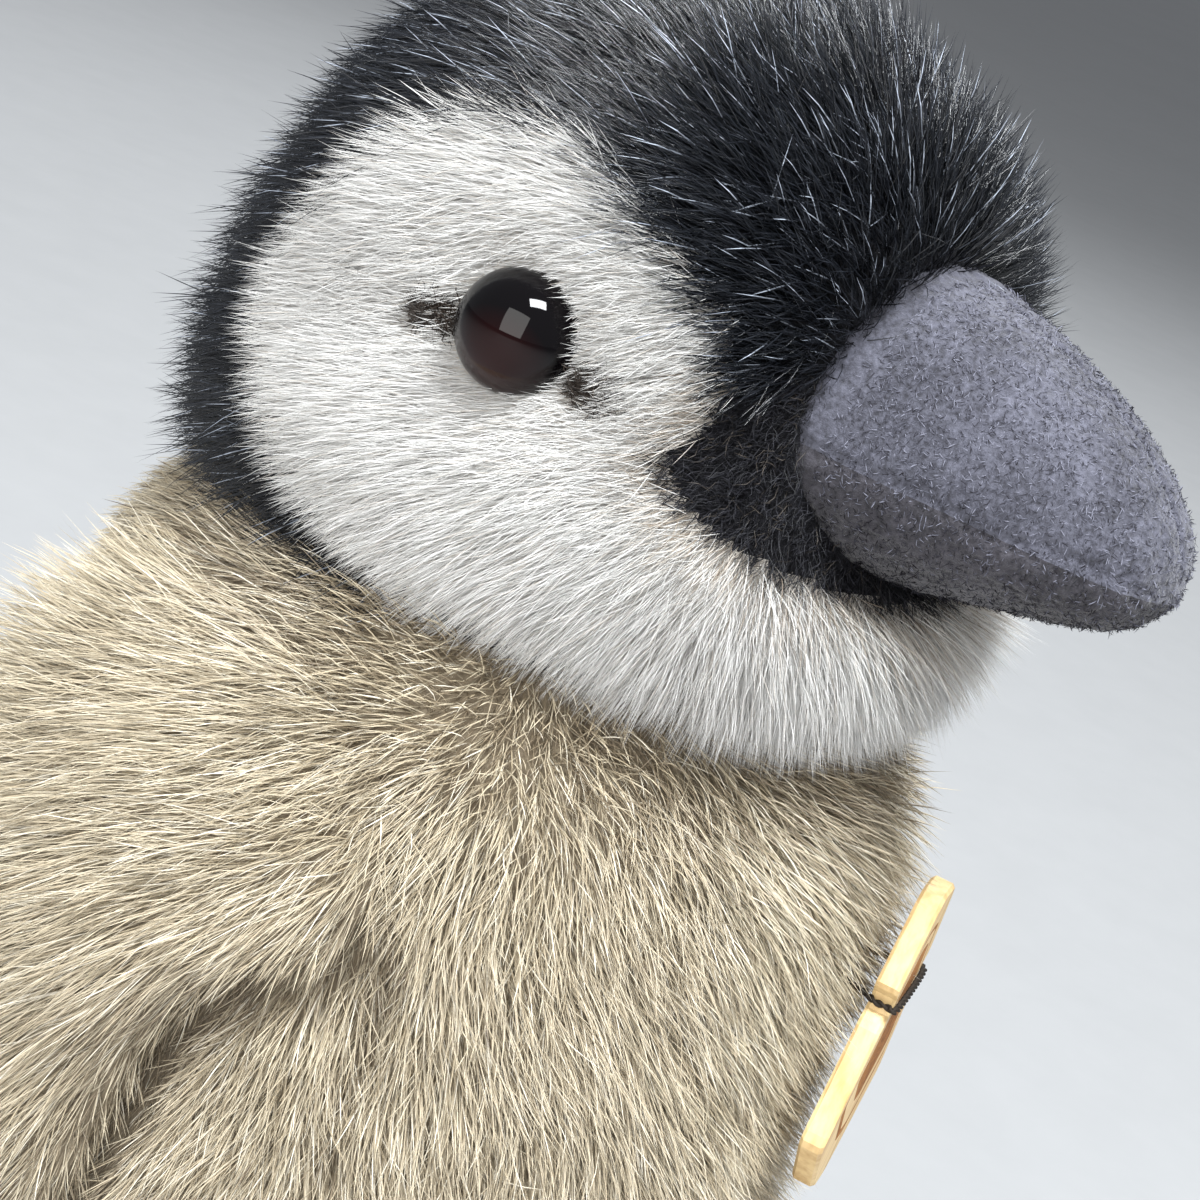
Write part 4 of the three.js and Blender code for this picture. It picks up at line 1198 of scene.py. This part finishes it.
def tag_ring():
    """The tag's outline with rounded corners and a notch on each side for the cord."""
    side = [
        (1.4, 12), (2.9, 11.7), (4.0, 10.7), (4.6, 9.4), (8.2, 2.6), (7.9, 1.9), (6.9, 1.0), (NOTCH_DEPTH, 0),
        (6.9, -1.0), (8.0, -1.9), (8.6, -2.6), (12.7, -13.7), (12.9, -14.8), (12.6, -15.7), (3.0, -24.0),
        (1.8, -24.5),
    ]
    return np.array([*side, *[(-x, z) for x, z in reversed(side)]])


def build_tag():
    ring = tag_ring()
    half = TAG_THICKNESS / 2
    inner = ring - unit(ring - ring.mean(0)) * TAG_BEVEL
    layers = [(inner, -half), (ring, -half + TAG_BEVEL), (ring, half - TAG_BEVEL), (inner, half)]
    count = len(ring)
    points = np.concatenate([tag_place(r[:, 0], np.full(count, out), r[:, 1]) for r, out in layers])
    marks = [tag_place(ring[:, 0] * k, np.full(count, half), ring[:, 1] * k - 1) for k in (0.72, 0.66, 0.52)]
    points = np.concatenate([points, *marks])
    faces = grid_faces(7, count, True)[:, ::-1].tolist()
    faces += [list(range(count)), list(range(7 * count - 1, 6 * count - 1, -1))]
    # The border line and the middle of the face are burnt; the back, the edges and the rest are bare.
    burnt = [0] * (4 * count) + [1] * count + [0] * count + [0, 1]
    wood = [wood_material("tag_wood"), mottled("burnt_wood", (0.20, 0.075, 0.022), (0.60, 0.26, 0.075), 1600)]
    piece = mesh_from("wooden_tag_plate", points, faces, wood, smooth=False)
    piece.data.polygons.foreach_set("material_index", burnt)
    fit(piece, "wooden_tag", body="tag")


def sweep(name, path, radius, material, twist, offset, sides=8):
    """A tube along a path; offset and twist wind it round the path like one ply of a thread."""
    along = unit(np.gradient(path, axis=0))
    first = unit(np.cross(along, (0.0, 0.0, 1.0)))
    second = np.cross(along, first)
    length = np.concatenate([[0], np.cumsum(np.linalg.norm(np.diff(path, axis=0), axis=1))])
    turn = (length * twist)[:, None]
    middle = path + offset * (first * np.cos(turn) + second * np.sin(turn))
    angles = np.linspace(0, 2 * np.pi, sides, endpoint=False)[None, :, None]
    grid = middle[:, None] + radius * (first[:, None] * np.cos(angles) + second[:, None] * np.sin(angles))
    points = np.concatenate([grid.reshape(-1, 3), path[:1], path[-1:]])
    faces = grid_faces(len(path), sides, True).tolist()
    last = len(points)
    faces += [(i, (i + 1) % sides, last - 2) for i in range(sides)]
    start = (len(path) - 1) * sides
    faces += [(start + (i + 1) % sides, start + i, last - 1) for i in range(sides)]
    return mesh_from(name, points, faces, [material])


def build_cord():
    """The cord comes out of the chest, crosses the tag's face through both notches, and goes back in."""
    notch, face = NOTCH_DEPTH + 0.44, TAG_THICKNESS / 2 + 0.42
    depth = TAG_RADIUS - body_radius(TAG_WAIST_Z) - 0.8
    half = [
        (1.6, -depth), (4, -depth + 1.6), (notch - 1.2, -face - 0.6),
        (notch, -face + 1), (notch, face - 0.9), (notch - 0.8, face),
    ]
    route = np.array([*half, *[(-x, out) for x, out in reversed(half)]])
    route = even_rows(catmull(route, 400), 260)
    path = tag_place(route[:, 0], route[:, 1], np.zeros(len(route)))
    ends = [tuple(metres(tag_place(0, out, 0))) for out in (-depth, -TAG_THICKNESS / 2 - 0.8)]
    for label, offset in (("tag_cord_ply", PLY_OFFSET), ("tag_cord_second_ply", -PLY_OFFSET)):
        piece = sweep(label, path, PLY_RADIUS, dark_thread, twist=2.8, offset=offset)
        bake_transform(piece)
        if offset > 0:
            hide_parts("tag_cord")


def finish_inner_nodes():
    """The pieces inside the skins stay as the frame has them, with their own finishes."""
    looks = {
        "stuffing": fibre_filling,
        "washer": washer_plastic,
        "pellet_bag": pellet_cloth,
        "base_panel": foot_suede,
    }
    for name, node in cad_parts.items():
        for key, material in looks.items():
            if key in name:
                node.data.materials.clear()
                node.data.materials.append(material)


build_head_skins()
build_head_pile()
build_body()
build_flippers()
build_tail()
build_beak()
build_eyes()
build_feet()
build_tag()
build_cord()
finish_inner_nodes()

# ---------- camera, light and stage ----------


def build_stage():
    """A wide pale floor."""
    reach = 60000
    corners = [(-reach, -reach, 0), (reach, -reach, 0), (reach, reach, 0), (-reach, reach, 0)]
    pale = mottled("pale_floor", (0.40, 0.405, 0.41), (0.42, 0.425, 0.43), 40, 0.7, 0.02, 0.0004)
    mesh_from("floor", corners, [(0, 1, 2, 3)], [pale], smooth=False)


def area_light(name, place, aim, size, power, colour):
    """A soft lamp. Places and sizes are in metres and the power in watts."""
    light = bpy.data.lights.new(name, "AREA")
    light.shape = "RECTANGLE"
    light.size, light.size_y = size
    light.energy = power
    light.color = colour
    lamp = bpy.data.objects.new(name, light)
    lamp.location = place
    lamp.rotation_euler = (Vector(aim) - Vector(place)).to_track_quat("-Z", "Y").to_euler()
    bpy.context.scene.collection.objects.link(lamp)


CAMERA_AZIMUTH = -60
CAMERA_ELEVATION = 17
CAMERA_ROLL = 22
CAMERA_DISTANCE = 288
CAMERA_LENS = 83.82
# Where the view is centred, to the right of the head's middle and below it.
AIM_RIGHT = 6.8
AIM_DOWN = 30.7


def build_camera():
    azimuth, elevation, roll = (math.radians(a) for a in (CAMERA_AZIMUTH, CAMERA_ELEVATION, CAMERA_ROLL))
    level = math.cos(elevation)
    towards = np.array([math.sin(azimuth) * level, -math.cos(azimuth) * level, math.sin(elevation)])
    right = np.array([math.cos(azimuth), math.sin(azimuth), 0])
    up = np.cross(right, -towards)
    target = np.array([0, 0, HEAD_Z]) + right * AIM_RIGHT - up * AIM_DOWN
    place = metres(target + towards * CAMERA_DISTANCE)
    image_right = right * math.cos(roll) + up * math.sin(roll)
    image_up = up * math.cos(roll) - right * math.sin(roll)
    data = bpy.data.cameras.new("camera")
    data.sensor_width = 36
    data.lens = CAMERA_LENS
    data.clip_start = 0.01
    camera = bpy.data.objects.new("camera", data)
    axes = np.stack([image_right, image_up, towards], 1)
    camera.matrix_world = Matrix([(*row, p) for row, p in zip(axes, place)] + [(0, 0, 0, 1)])
    bpy.context.scene.collection.objects.link(camera)
    bpy.context.scene.camera = camera


def build_world():
    """Even, slightly cool light from all round."""
    world = bpy.data.worlds.new("studio")
    world.use_nodes = True
    background = world.node_tree.nodes["Background"]
    background.inputs["Color"].default_value = (0.78, 0.81, 0.86, 1)
    background.inputs["Strength"].default_value = 0.36
    bpy.context.scene.world = world


build_stage()
build_camera()
area_light("window", (-0.27, -0.40, 1.25), (0, 0, 0.15), (0.55, 0.30), 28, (0.95, 0.98, 1.0))
area_light("fill", (-1.50, -0.45, 0.75), (0, 0, 0.13), (1.2, 1.2), 20, (1.0, 0.985, 0.96))
area_light("rim", (0.95, 0.55, 1.15), (0, 0, 0.15), (0.8, 0.8), 12, (0.94, 0.97, 1.0))
build_world()
bpy.context.scene.view_settings.view_transform = "Standard"

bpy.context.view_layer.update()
